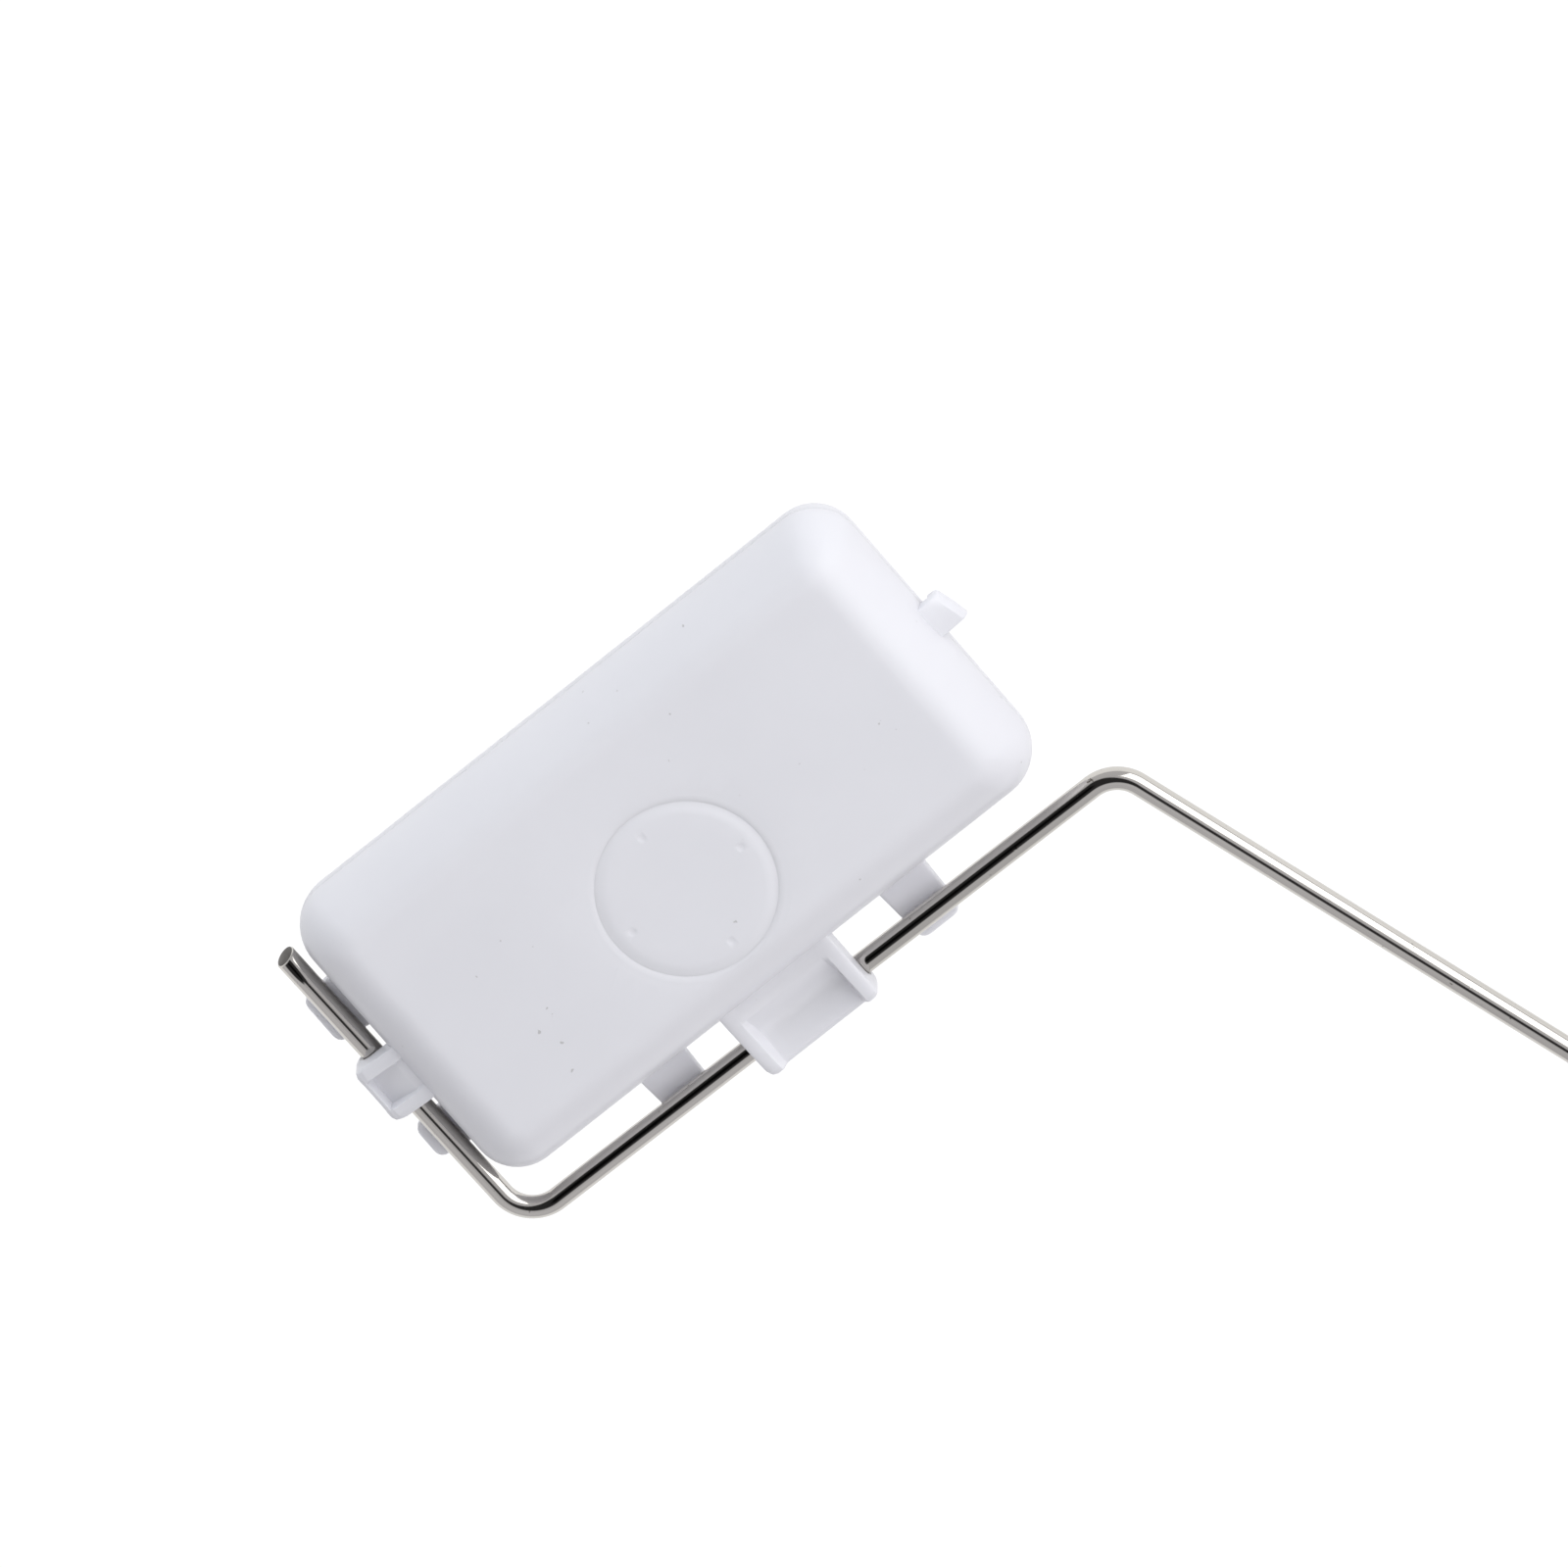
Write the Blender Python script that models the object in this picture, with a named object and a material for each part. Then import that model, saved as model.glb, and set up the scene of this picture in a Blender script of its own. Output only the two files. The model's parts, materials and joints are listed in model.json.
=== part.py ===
"""A small piston float valve for a tank wall, with a bent wire arm and a flat clip-on float.

The frame is the tank wall's: the origin is on the inlet axis at the inner face of the wall,
+X points into the tank, +Z is up. The arm hangs on its low stop, level, with the valve open.
Lengths are worked in millimetres and turned into metres when a mesh is made.
"""

import math

import bmesh
import bpy
from mathutils import Matrix, Vector

MM = 0.001
GAP = 0.3  # between pieces that touch
RUNNING = 0.08  # round a pin that turns

# Inlet tail, wall clamp and tube fitting, along X
TAIL_RADIUS = 8.3
TAIL_END = -27.0
WALL_THICKNESS = 3.0
SUPPLY_BORE = 4.0
TUBE_SOCKET = 3.3
THROAT = 2.5
FLANGE_RADIUS = 13.0
FLANGE_FROM = 1.8
FLANGE_TO = 4.8
GASKET_THICKNESS = 1.5
LOCK_NUT_FLATS = 24.0
LOCK_NUT_THICKNESS = 6.5
TUBE_NUT_FLATS = 22.0
TUBE_NUT_FROM = -37.0
TUBE_NUT_TO = -22.0
NUT_BORE = TAIL_RADIUS + GAP

# Body, bore and outlet
BODY_RADIUS = 8.0
BODY_END = 30.0
BORE = 5.2
BORE_FROM = 5.0
NOZZLE_RIM = 12.0
OUTLET_X = 13.0
BOSS_RADIUS = 6.2
BOSS_BOTTOM = -13.0
OUTLET_HOLE = 3.0
SPOUT_SOCKET = 4.6
SPOUT_RADIUS = 4.3
SPOUT_BORE = 3.1
SPOUT_BOTTOM = -34.0

# Lever and its pin
PIVOT_X = 36.0
PIVOT_Z = -9.5
PIN_RADIUS = 1.5
SWING = math.radians(25.0)
SHORT_ARM = 9.5
NOSE_RADIUS = 2.0
NECK_HALF_WIDTH = 1.3
HUB_RADIUS = 3.2
LEVER_HALF_WIDTH = 3.0
CHEEK_INNER = 5.4
CHEEK_OUTER = 8.0
BLOCK_FROM = 44.0
BLOCK_TO = 58.0
BLOCK_HALF_WIDTH = 4.5
BLOCK_BOTTOM = -13.5
BLOCK_TOP = -3.5
SCREW_X = 52.0
SCREW_RADIUS = 1.45
NUT_SIDE = 5.4

# Plunger at rest
TRAVEL = 2 * SHORT_ARM * math.sin(SWING / 2)
SEAT_GAP = 0.1
PLUNGER_RADIUS = 5.0
WASHER_FACE = NOZZLE_RIM + SEAT_GAP + TRAVEL
PLUNGER_FRONT = WASHER_FACE + 0.8
PLUNGER_END = 42.5
NOSE_X = PIVOT_X + SHORT_ARM * math.sin(SWING / 2)
PLUNGER_RING_X = 25.0

# Wire arm, in the plane Z = PIVOT_Z
WIRE_RADIUS = 1.5
WIRE_FROM = 47.0
BEND_RADIUS = 5.0
ELBOW_X = 132.0
LONG_LEG = 94.6
LONG_LEG_ANGLE = 72.0
SHORT_LEG = 46.3
SHORT_LEG_ANGLE = -16.3

# Float, in its own frame: u along its length, v towards the wire, z up from the parting plane
FLOAT_X = ELBOW_X + 42.3
FLOAT_Y = 37.8
FLOAT_ANGLE = 72.6
FLOAT_HALF_LENGTH = 44.0
FLOAT_HALF_WIDTH = 22.6
FLOAT_HALF_THICKNESS = 10.2
CORNER_RADIUS = 6.2
EDGE_ROUNDING = 7.0  # how far the broad face lies inside the rim
FLOAT_WALL = 1.6
PLUG_U = 0.3
PLUG_V = 4.5
PLUG_RADIUS = 11.5
PLUG_SPIGOT = 8.6
PLUG_THICKNESS = 1.2
PLUG_PROUD = 0.35
WIRE_V = 28.5
WIRE_U = 46.3
CRADLE = WIRE_RADIUS + 0.35
CLIP_ROOT = 1.3  # how far a clip starts inside the float's wall
TAB_THICKNESS = 1.9

ROUND = 24  # sides of a turned piece


# ---------- scene, materials and mesh helpers ----------


def clear_scene():
    for obj in list(bpy.data.objects):
        bpy.data.objects.remove(obj, do_unlink=True)


def make_material(name, colour, roughness, metallic=0.0):
    material = bpy.data.materials.new(name)
    material.use_nodes = True
    shader = material.node_tree.nodes["Principled BSDF"]
    shader.inputs["Base Color"].default_value = (*colour, 1.0)
    shader.inputs["Roughness"].default_value = roughness
    shader.inputs["Metallic"].default_value = metallic
    return material


def make_object(name, bm, material, smooth=True):
    bmesh.ops.recalc_face_normals(bm, faces=bm.faces)
    bmesh.ops.scale(bm, vec=(MM, MM, MM), verts=bm.verts)
    mesh = bpy.data.meshes.new(name)
    bm.to_mesh(mesh)
    bm.free()
    if smooth:
        mesh.shade_smooth()
        mesh.set_sharp_from_angle(angle=math.radians(35))
    if material:
        mesh.materials.append(material)
    obj = bpy.data.objects.new(name, mesh)
    bpy.context.scene.collection.objects.link(obj)
    return obj


def add_solid(bm, rings, closed_loop=False):
    """Bridges successive rings of points, then caps the ends or joins them."""
    loops = [[bm.verts.new(point) for point in ring] for ring in rings]
    pairs = list(zip(loops, loops[1:]))
    if closed_loop:
        pairs.append((loops[-1], loops[0]))
    for low, high in pairs:
        count = max(len(low), len(high))
        for i in range(count):
            j = (i + 1) % count
            corners = [low[i % len(low)], low[j % len(low)], high[j % len(high)], high[i % len(high)]]
            bm.faces.new(list(dict.fromkeys(corners)))
    if not closed_loop:
        for end in (loops[0], loops[-1]):
            if len(end) > 2:
                bm.faces.new(end)
    return loops


def turned(profile, axis="X", centre=(0.0, 0.0, 0.0), sides=ROUND, hollow=True):
    """A solid of revolution. The profile is a list of (place along the axis, radius)."""
    across = {"X": ((0, 1, 0), (0, 0, 1)), "Y": ((0, 0, 1), (1, 0, 0)), "Z": ((1, 0, 0), (0, 1, 0))}[axis]
    along = {"X": (1, 0, 0), "Y": (0, 1, 0), "Z": (0, 0, 1)}[axis]
    first, second, third = Vector(across[0]), Vector(across[1]), Vector(along)
    rings = []
    for place, radius in profile:
        middle = Vector(centre) + third * place
        if radius == 0:
            rings.append([middle])
            continue
        angles = [2 * math.pi * i / sides for i in range(sides)]
        rings.append([middle + (first * math.cos(a) + second * math.sin(a)) * radius for a in angles])
    bm = bmesh.new()
    add_solid(bm, rings, closed_loop=hollow)
    return bm


def prism(outline, low, high, axis="Y"):
    """Extrudes an outline: (x, z) along Y, (x, y) along Z, or (y, z) along X."""
    def point(a, b, depth):
        return {"Y": (a, depth, b), "Z": (a, b, depth), "X": (depth, a, b)}[axis]

    bm = bmesh.new()
    add_solid(bm, [[point(a, b, depth) for a, b in outline] for depth in (low, high)])
    return bm


def box(low, high):
    outline = [(low[0], low[1]), (high[0], low[1]), (high[0], high[1]), (low[0], high[1])]
    return prism(outline, low[2], high[2], axis="Z")


def arc(centre, radius, start, end, steps):
    """Points on a circle between two angles in degrees."""
    angles = [math.radians(start + (end - start) * i / steps) for i in range(steps + 1)]
    return [(centre[0] + radius * math.cos(a), centre[1] + radius * math.sin(a)) for a in angles]


def hexagon(flats, low, high):
    points = arc((0.0, 0.0), flats / math.sqrt(3), 30, 330, 5)
    return prism(points, low, high, axis="X")


def combine(target, other, operation):
    """Adds or cuts a helper shape with a Boolean, and hides the helper."""
    other.hide_render = True
    other.display_type = "WIRE"
    other.hide_set(True)
    modifier = target.modifiers.new(operation.lower() + "_" + other.name, "BOOLEAN")
    modifier.operation = operation
    modifier.object = other


def helper(name, bm):
    return make_object(name, bm, None, smooth=False)


def cut(target, name, bm):
    combine(target, helper(name, bm), "DIFFERENCE")


def join(target, name, bm):
    combine(target, helper(name, bm), "UNION")


# ---------- wall side ----------


def make_valve_body(material):
    """Tail, flange, cylinder, outlet boss and the fork for the lever, moulded in one piece."""
    outside = [
        (TAIL_END, TAIL_RADIUS - 0.8),
        (TAIL_END + 0.8, TAIL_RADIUS),
        (FLANGE_FROM, TAIL_RADIUS),
        (FLANGE_FROM, FLANGE_RADIUS),
        (FLANGE_TO - 0.6, FLANGE_RADIUS),
        (FLANGE_TO, FLANGE_RADIUS - 0.6),
        (FLANGE_TO, BODY_RADIUS),
        (BODY_END, BODY_RADIUS),
    ]
    inside = [
        (BODY_END, BORE),
        (BORE_FROM, BORE),
        (BORE_FROM, SUPPLY_BORE),
        (-18.0, SUPPLY_BORE),
        (-18.0, THROAT),
        (-19.0, THROAT),
        (-19.0, TUBE_SOCKET),
        (TAIL_END + 2.2, TUBE_SOCKET),
        (TAIL_END, TUBE_SOCKET + 2.0),
    ]
    body = make_object("valve_body", turned(outside + inside), material)
    boss = [(BOSS_BOTTOM, BOSS_RADIUS), (-BORE - 0.8, BOSS_RADIUS)]
    boss += [(-BORE - 0.8, SPOUT_SOCKET), (BOSS_BOTTOM, SPOUT_SOCKET)]
    join(body, "outlet_boss", turned(boss, "Z", (OUTLET_X, 0.0, 0.0)))
    cut(body, "outlet_hole", turned([(-9.0, 0), (-9.0, OUTLET_HOLE), (-2.0, OUTLET_HOLE), (-2.0, 0)],
                                    "Z", (OUTLET_X, 0.0, 0.0), hollow=False))
    lobe = arc((PIVOT_X, PIVOT_Z), 4.2, -130, 40, 8)
    cheek = [(24.0, 5.6), (24.0, -6.0), (28.5, -7.6)] + lobe + [(38.5, 1.5), (34.5, 5.6)]
    for side, name in ((-1, "cheek_right"), (1, "cheek_left")):
        low, high = sorted((side * CHEEK_INNER, side * CHEEK_OUTER))
        join(body, name, prism(cheek, low, high))
    cut(body, "fork_opening", box((BODY_END + 0.01, -CHEEK_INNER, -20), (46, CHEEK_INNER, 20)))
    pin_hole = PIN_RADIUS + RUNNING
    cut(body, "pin_bore", turned([(-12, 0), (-12, pin_hole), (12, pin_hole), (12, 0)],
                                 "Y", (PIVOT_X, 0.0, PIVOT_Z), hollow=False))
    return body


def ring(name, low, high, inner, outer, material, chamfer=0.2):
    profile = [
        (low, inner),
        (low, outer - chamfer),
        (low + chamfer, outer),
        (high - chamfer, outer),
        (high, outer - chamfer),
        (high, inner),
    ]
    return make_object(name, turned(profile), material)


def make_nut(name, flats, low, high, bore, material):
    """A hexagon nut whose corners are turned down at both ends."""
    nut = make_object(name, hexagon(flats, low, high), material)
    corner = flats / math.sqrt(3)
    middle = (low + high) / 2
    slope = [(low - 1, corner - 2.6), (middle, corner + 5.0), (high + 1, corner - 2.6)]
    crown = [(low - 1, 0)] + slope + [(high + 1, 0)]
    combine(nut, helper(name + "_crown", turned(crown, hollow=False, sides=48)), "INTERSECT")
    cut(nut, name + "_bore", turned([(low - 2, 0), (low - 2, bore), (high + 2, bore), (high + 2, 0)],
                                    hollow=False))
    return nut


def make_wall_clamp(rubber, nylon, plastic):
    ring("wall_gasket", 0.0, GASKET_THICKNESS, NUT_BORE, FLANGE_RADIUS - 0.5, rubber)
    washer_from = -WALL_THICKNESS - GAP - 1.2
    ring("backing_washer", washer_from, -WALL_THICKNESS - GAP, NUT_BORE, FLANGE_RADIUS, nylon)
    nut_to = washer_from - GAP
    make_nut("lock_nut", LOCK_NUT_FLATS, nut_to - LOCK_NUT_THICKNESS, nut_to, NUT_BORE, plastic)


def make_tube_fitting(plastic, nylon):
    """The cap nut and the ferrule that squeeze the supply tube into the tail."""
    nut = make_nut("tube_nut", TUBE_NUT_FLATS, TUBE_NUT_FROM, TUBE_NUT_TO, TUBE_SOCKET, plastic)
    floor = TUBE_NUT_FROM + 2.4
    cavity = [(floor, 0), (floor, NUT_BORE), (TUBE_NUT_TO + 2, NUT_BORE), (TUBE_NUT_TO + 2, 0)]
    cut(nut, "tube_nut_cavity", turned(cavity, hollow=False))
    low, high = floor + GAP, TAIL_END - GAP
    ferrule = [
        (low, TUBE_SOCKET),
        (low, TUBE_SOCKET + 0.6),
        (low + 2.0, TUBE_SOCKET + 1.9),
        (high - 2.0, TUBE_SOCKET + 1.9),
        (high, TUBE_SOCKET + 0.6),
        (high, TUBE_SOCKET),
    ]
    make_object("tube_ferrule", turned(ferrule), nylon)


def make_strainer(material):
    """A thimble with long slots, held in the supply bore by the nozzle."""
    outer, wall = 2.9, 0.6
    rim = SUPPLY_BORE - GAP
    profile = [
        (-14.0, 0),
        (-14.0, outer - 0.5),
        (-13.5, outer),
        (3.0, outer),
        (3.0, rim),
        (4.7, rim),
        (4.7, outer - wall),
        (-13.4, outer - wall),
        (-13.4, 0),
    ]
    strainer = make_object("inlet_strainer", turned(profile, hollow=False, sides=24), material)
    for i in range(4):
        slot = box((-12.0, -0.5, -5.0), (1.5, 0.5, 5.0))
        slot.transform(Matrix.Rotation(math.pi * i / 4, 4, "X"))
        cut(strainer, "strainer_slot_" + str(i + 1), slot)
    return strainer


# ---------- seat, plunger and outlet ----------


def make_o_ring(name, place, middle_radius, section, material):
    profile = [(place + a, middle_radius + b) for a, b in arc((0, 0), section, 0, 315, 7)]
    return make_object(name, turned(profile), material)


def make_nozzle(brass, rubber):
    outer = BORE - GAP
    low = BORE_FROM + GAP
    profile = [
        (low, 3.0),
        (low, outer),
        (low + 1.3, outer),
        (low + 1.3, 3.6),
        (low + 3.0, 3.6),
        (low + 3.0, outer),
        (9.2, outer),
        (NOZZLE_RIM - 0.5, 2.5),
        (NOZZLE_RIM, 2.2),
        (NOZZLE_RIM, 1.5),
        (low + 2.6, 1.5),
    ]
    make_object("seat_nozzle", turned(profile), brass)
    make_o_ring("nozzle_o_ring", low + 2.15, 4.45, 0.55, rubber)


def make_plunger(plastic, rubber):
    recess = 3.9
    groove_low, groove_high = PLUNGER_RING_X - 0.9, PLUNGER_RING_X + 0.9
    profile = [
        (PLUNGER_FRONT + 1.7, 0),
        (PLUNGER_FRONT + 1.7, recess),
        (PLUNGER_FRONT, recess),
        (PLUNGER_FRONT, PLUNGER_RADIUS - 0.4),
        (PLUNGER_FRONT + 0.4, PLUNGER_RADIUS),
        (groove_low, PLUNGER_RADIUS),
        (groove_low, 3.6),
        (groove_high, 3.6),
        (groove_high, PLUNGER_RADIUS),
        (PLUNGER_END - 0.6, PLUNGER_RADIUS),
        (PLUNGER_END, PLUNGER_RADIUS - 0.6),
        (PLUNGER_END, 0),
    ]
    plunger = make_object("plunger", turned(profile, hollow=False), plastic)
    cut(plunger, "tail_flat", box((34.8, -8, -8), (PLUNGER_END + 2, 8, -3.2)))
    half_slot = NOSE_RADIUS + 0.15
    cut(plunger, "nose_slot", box((NOSE_X - half_slot, -3.4, -6), (NOSE_X + half_slot, 3.4, 2.4)))
    washer = [(WASHER_FACE, 0), (WASHER_FACE, recess - 0.5), (WASHER_FACE + 0.2, recess - GAP)]
    washer += [(WASHER_FACE + 2.2, recess - GAP), (WASHER_FACE + 2.2, 0)]
    make_object("seat_washer", turned(washer, hollow=False), rubber)
    make_o_ring("plunger_o_ring", PLUNGER_RING_X, 4.5, 0.6, rubber)
    return plunger


def make_spout(material):
    collar = BOSS_BOTTOM - GAP
    profile = [
        (collar + 3.2, SPOUT_BORE),
        (collar + 3.2, SPOUT_RADIUS - 0.4),
        (collar + 2.8, SPOUT_RADIUS),
        (collar, SPOUT_RADIUS),
        (collar, BOSS_RADIUS),
        (collar - 1.4, BOSS_RADIUS),
        (collar - 1.8, SPOUT_RADIUS),
        (SPOUT_BOTTOM + 0.4, SPOUT_RADIUS),
        (SPOUT_BOTTOM, SPOUT_RADIUS - 0.3),
        (SPOUT_BOTTOM, SPOUT_BORE),
    ]
    return make_object("outlet_spout", turned(profile, "Z", (OUTLET_X, 0.0, 0.0)), material)


# ---------- lever, pin and wire clamp ----------


def leaning(across, along):
    """A point of the lever's short arm, from its distances across and along that arm, at rest."""
    s, c = math.sin(SWING / 2), math.cos(SWING / 2)
    return PIVOT_X + along * s + across * c, PIVOT_Z + along * c - across * s


def make_lever(material):
    """Hub, nose that drives the plunger, heel that stops on the body, and the wire socket."""
    lean = math.degrees(SWING / 2)
    nose = leaning(0.0, SHORT_ARM)
    flare = math.degrees(math.acos(NECK_HALF_WIDTH / NOSE_RADIUS))
    bar_top, neck_foot = PIVOT_Z + 2.6, SHORT_ARM - 3.6
    outline = [(BLOCK_FROM + 1, PIVOT_Z - 2.6), (BLOCK_FROM + 1, bar_top), (PIVOT_X + 3.4, bar_top)]
    outline += [leaning(NECK_HALF_WIDTH, neck_foot)]
    outline += arc(nose, NOSE_RADIUS, -flare - lean, 180 + flare - lean, 10)
    outline += [leaning(-NECK_HALF_WIDTH, neck_foot), (PIVOT_X - 2.6, -BODY_RADIUS - GAP)]
    outline += [(27.2, -BODY_RADIUS - GAP), (26.6, -9.0), (26.6, -10.4), (27.4, -10.9)]
    outline += [(PIVOT_X - 2.4, PIVOT_Z - 2.1)]
    outline += arc((PIVOT_X, PIVOT_Z), HUB_RADIUS - 0.4, -130, -60, 4)
    lever = make_object("lever", prism(outline, -LEVER_HALF_WIDTH, LEVER_HALF_WIDTH), material)
    hub = CHEEK_INNER - GAP
    join(lever, "hub", turned([(-hub, 0), (-hub, HUB_RADIUS), (hub, HUB_RADIUS), (hub, 0)],
                              "Y", (PIVOT_X, 0.0, PIVOT_Z), hollow=False))
    y, low, high, c = BLOCK_HALF_WIDTH, BLOCK_BOTTOM, BLOCK_TOP, 1.2
    section = [(-y, low + c), (-y + c, low), (y - c, low), (y, low + c)]
    section += [(y, high - c), (y - c, high), (-y + c, high), (-y, high - c)]
    join(lever, "socket_block", prism(section, BLOCK_FROM, BLOCK_TO, axis="X"))
    bore = PIN_RADIUS + RUNNING
    cut(lever, "hub_bore", turned([(-12, 0), (-12, bore), (12, bore), (12, 0)],
                                  "Y", (PIVOT_X, 0.0, PIVOT_Z), hollow=False))
    bore = WIRE_RADIUS + GAP
    cut(lever, "wire_socket", turned([(46.4, 0), (46.4, bore), (BLOCK_TO + 2, bore), (BLOCK_TO + 2, 0)],
                                     "X", (0.0, 0.0, PIVOT_Z), hollow=False, sides=24))
    bore = SCREW_RADIUS + GAP
    cut(lever, "screw_hole", turned([(PIVOT_Z, 0), (PIVOT_Z, bore), (0, bore), (0, 0)],
                                    "Z", (SCREW_X, 0.0, 0.0), hollow=False, sides=24))
    half = NUT_SIDE / 2 + GAP
    cut(lever, "nut_pocket", box((SCREW_X - half, -half, -6.95), (SCREW_X + half, 6, -4.65)))
    return lever


def make_wire_clamp(steel, zinc):
    head_low = BLOCK_TOP + GAP
    tip = PIVOT_Z + WIRE_RADIUS + GAP
    screw = [(tip, 0), (tip, SCREW_RADIUS - 0.4), (tip + 0.4, SCREW_RADIUS), (head_low, SCREW_RADIUS)]
    screw += [(head_low, 2.8), (head_low + 1.2, 2.8), (head_low + 1.9, 2.0), (head_low + 2.1, 0)]
    clamp = make_object("arm_screw", turned(screw, "Z", (SCREW_X, 0.0, 0.0), sides=24, hollow=False), steel)
    for i in range(2):
        blade = box((-1.7, -0.3, head_low + 0.9), (1.7, 0.3, head_low + 3.0))
        blade.transform(Matrix.Translation((SCREW_X, 0, 0)) @ Matrix.Rotation(math.pi * i / 2, 4, "Z"))
        cut(clamp, "cross_slot_" + str(i + 1), blade)
    half = NUT_SIDE / 2
    square = box((SCREW_X - half, -half, -6.65), (SCREW_X + half, half, -4.95))
    nut = make_object("arm_clamp_nut", square, zinc)
    bore = SCREW_RADIUS + GAP
    cut(nut, "clamp_nut_bore", turned([(-8, 0), (-8, bore), (-3, bore), (-3, 0)],
                                      "Z", (SCREW_X, 0.0, 0.0), hollow=False, sides=24))


def make_pin(steel, spring_steel):
    far = CHEEK_OUTER + GAP
    profile = [
        (-far - 1.3, 0),
        (-far - 1.3, 2.3),
        (-far - 0.9, 2.7),
        (-far, 2.7),
        (-far, PIN_RADIUS),
        (far + 0.2, PIN_RADIUS),
        (far + 0.2, 1.05),
        (far + 1.4, 1.05),
        (far + 1.4, PIN_RADIUS),
        (far + 2.0, PIN_RADIUS),
        (far + 2.4, PIN_RADIUS - 0.4),
        (far + 2.4, 0),
    ]
    place = (PIVOT_X, 0.0, PIVOT_Z)
    make_object("pivot_pin", turned(profile, "Y", place, hollow=False), steel)
    outline = arc((PIVOT_X, PIVOT_Z), 3.0, -50, 230, 16) + arc((PIVOT_X, PIVOT_Z), 1.35, 230, -50, 12)
    make_object("pivot_clip", prism(outline, far + 0.5, far + 1.1), spring_steel)


# ---------- wire arm and float ----------


def polar(length, angle):
    return Vector((math.cos(math.radians(angle)), math.sin(math.radians(angle)))) * length


def bent_path(corners, radius, steps):
    """The centre line through the corners, each turned on the same radius."""
    path = [corners[0]]
    for before, corner, after in zip(corners, corners[1:], corners[2:]):
        back, onward = (before - corner).normalized(), (after - corner).normalized()
        half_angle = back.angle(onward) / 2
        setback = radius / math.tan(half_angle)
        centre = corner + (back + onward).normalized() * radius / math.sin(half_angle)
        start, end = corner + back * setback - centre, corner + onward * setback - centre
        sweep = start.angle_signed(end)
        for i in range(steps + 1):
            path.append(centre + Matrix.Rotation(-sweep * i / steps, 2) @ start)
    path.append(corners[-1])
    return path


def make_float_arm(material):
    elbow = Vector((ELBOW_X, 0.0))
    knee = elbow + polar(LONG_LEG, LONG_LEG_ANGLE)
    tip = knee + polar(SHORT_LEG, SHORT_LEG_ANGLE)
    path = bent_path([Vector((WIRE_FROM, 0.0)), elbow, knee, tip], BEND_RADIUS, 8)
    rings = []
    for i, point in enumerate(path):
        before, after = path[max(i - 1, 0)], path[min(i + 1, len(path) - 1)]
        along = (after - before).normalized()
        sideways = Vector((-along.y, along.x, 0.0))
        middle = Vector((point.x, point.y, PIVOT_Z))
        angles = [2 * math.pi * k / 16 for k in range(16)]
        rings.append([middle + (sideways * math.cos(a) + Vector((0, 0, 1)) * math.sin(a)) * WIRE_RADIUS
                      for a in angles])
    bm = bmesh.new()
    add_solid(bm, rings)
    return make_object("float_arm", bm, material)


def to_row(bm):
    """Moves a shape from the float's own frame to its place on the arm."""
    turn = Matrix.Rotation(math.radians(FLOAT_ANGLE), 4, "Z")
    bm.transform(Matrix.Translation((FLOAT_X, FLOAT_Y, PIVOT_Z)) @ turn)
    return bm


def rounded_rectangle(half_u, half_v, corner, z, steps=6):
    points = []
    for quarter, (su, sv) in enumerate(((1, 1), (-1, 1), (-1, -1), (1, -1))):
        centre = (su * (half_u - corner), sv * (half_v - corner))
        points += [(u, v, z) for u, v in arc(centre, corner, 90 * quarter, 90 * quarter + 90, steps)]
    return points


def dome_rings(shrink, side):
    """Rings of half the float up a quarter ellipse, from its rim to its broad face, less a wall."""
    half_u, half_v = FLOAT_HALF_LENGTH - shrink, FLOAT_HALF_WIDTH - shrink
    top, rounding = FLOAT_HALF_THICKNESS - shrink, EDGE_ROUNDING - shrink
    corner = CORNER_RADIUS - shrink
    rings, steps, least_corner = [], 8, 0.6
    for i in range(steps + 1):
        angle = math.pi / 2 * i / steps
        inset = rounding * (1 - math.cos(angle))
        z = side * max(top * math.sin(angle), GAP / 2)
        radius = max(corner - inset, least_corner)
        rings.append(rounded_rectangle(half_u - inset, half_v - inset, radius, z))
    return rings


def make_half_shell(name, side, material):
    bm = bmesh.new()
    outer, inner = dome_rings(0.0, side), dome_rings(FLOAT_WALL, side)
    add_solid(bm, inner[::-1] + outer)
    return make_object(name, to_row(bm), material)


def hook_profile(wall, wire, outer, root, crest, low):
    """A clip's section from the float's wall over the wire: (distance out, height)."""
    inside = wall - CLIP_ROOT
    profile = [(inside, CRADLE), (inside, root), (wall + 0.8, root)]
    profile += [(wire - 0.5, crest), (outer - 1.4, crest)]
    profile += arc((outer - 1.4, crest - 1.4), 1.4, 60, 0, 2)
    profile += [(outer, low + 0.4), (outer - 0.4, low), (wire + CRADLE, low)]
    profile += arc((wire, 0.0), CRADLE, 0, 90, 4)
    return profile


def clip_solid(sections, side):
    """Bridges clip sections set along u on the long side, or along v on a short side."""
    if side == "long":
        rings = [[(place, out, z) for out, z in profile] for place, profile in sections]
    else:
        sign = 1 if side == "far" else -1
        rings = [[(sign * out, place, z) for out, z in profile] for place, profile in sections]
    bm = bmesh.new()
    add_solid(bm, rings)
    return to_row(bm)


def add_hook(shell, name, side, centre, width, rib, wall, wire, outer):
    """Two ribs with a lower web between them, reaching over the wire."""
    low, high, step = centre - width / 2, centre + width / 2, 0.1
    ribbed = hook_profile(wall, wire, outer, 5.0, 4.4, -1.0)
    web = hook_profile(wall, wire, outer, 4.2, 3.2, -1.0)
    sections = [(low, ribbed), (low + rib, ribbed), (low + rib + step, web)]
    sections += [(high - rib - step, web), (high - rib, ribbed), (high, ribbed)]
    join(shell, name, clip_solid(sections, side))


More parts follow.
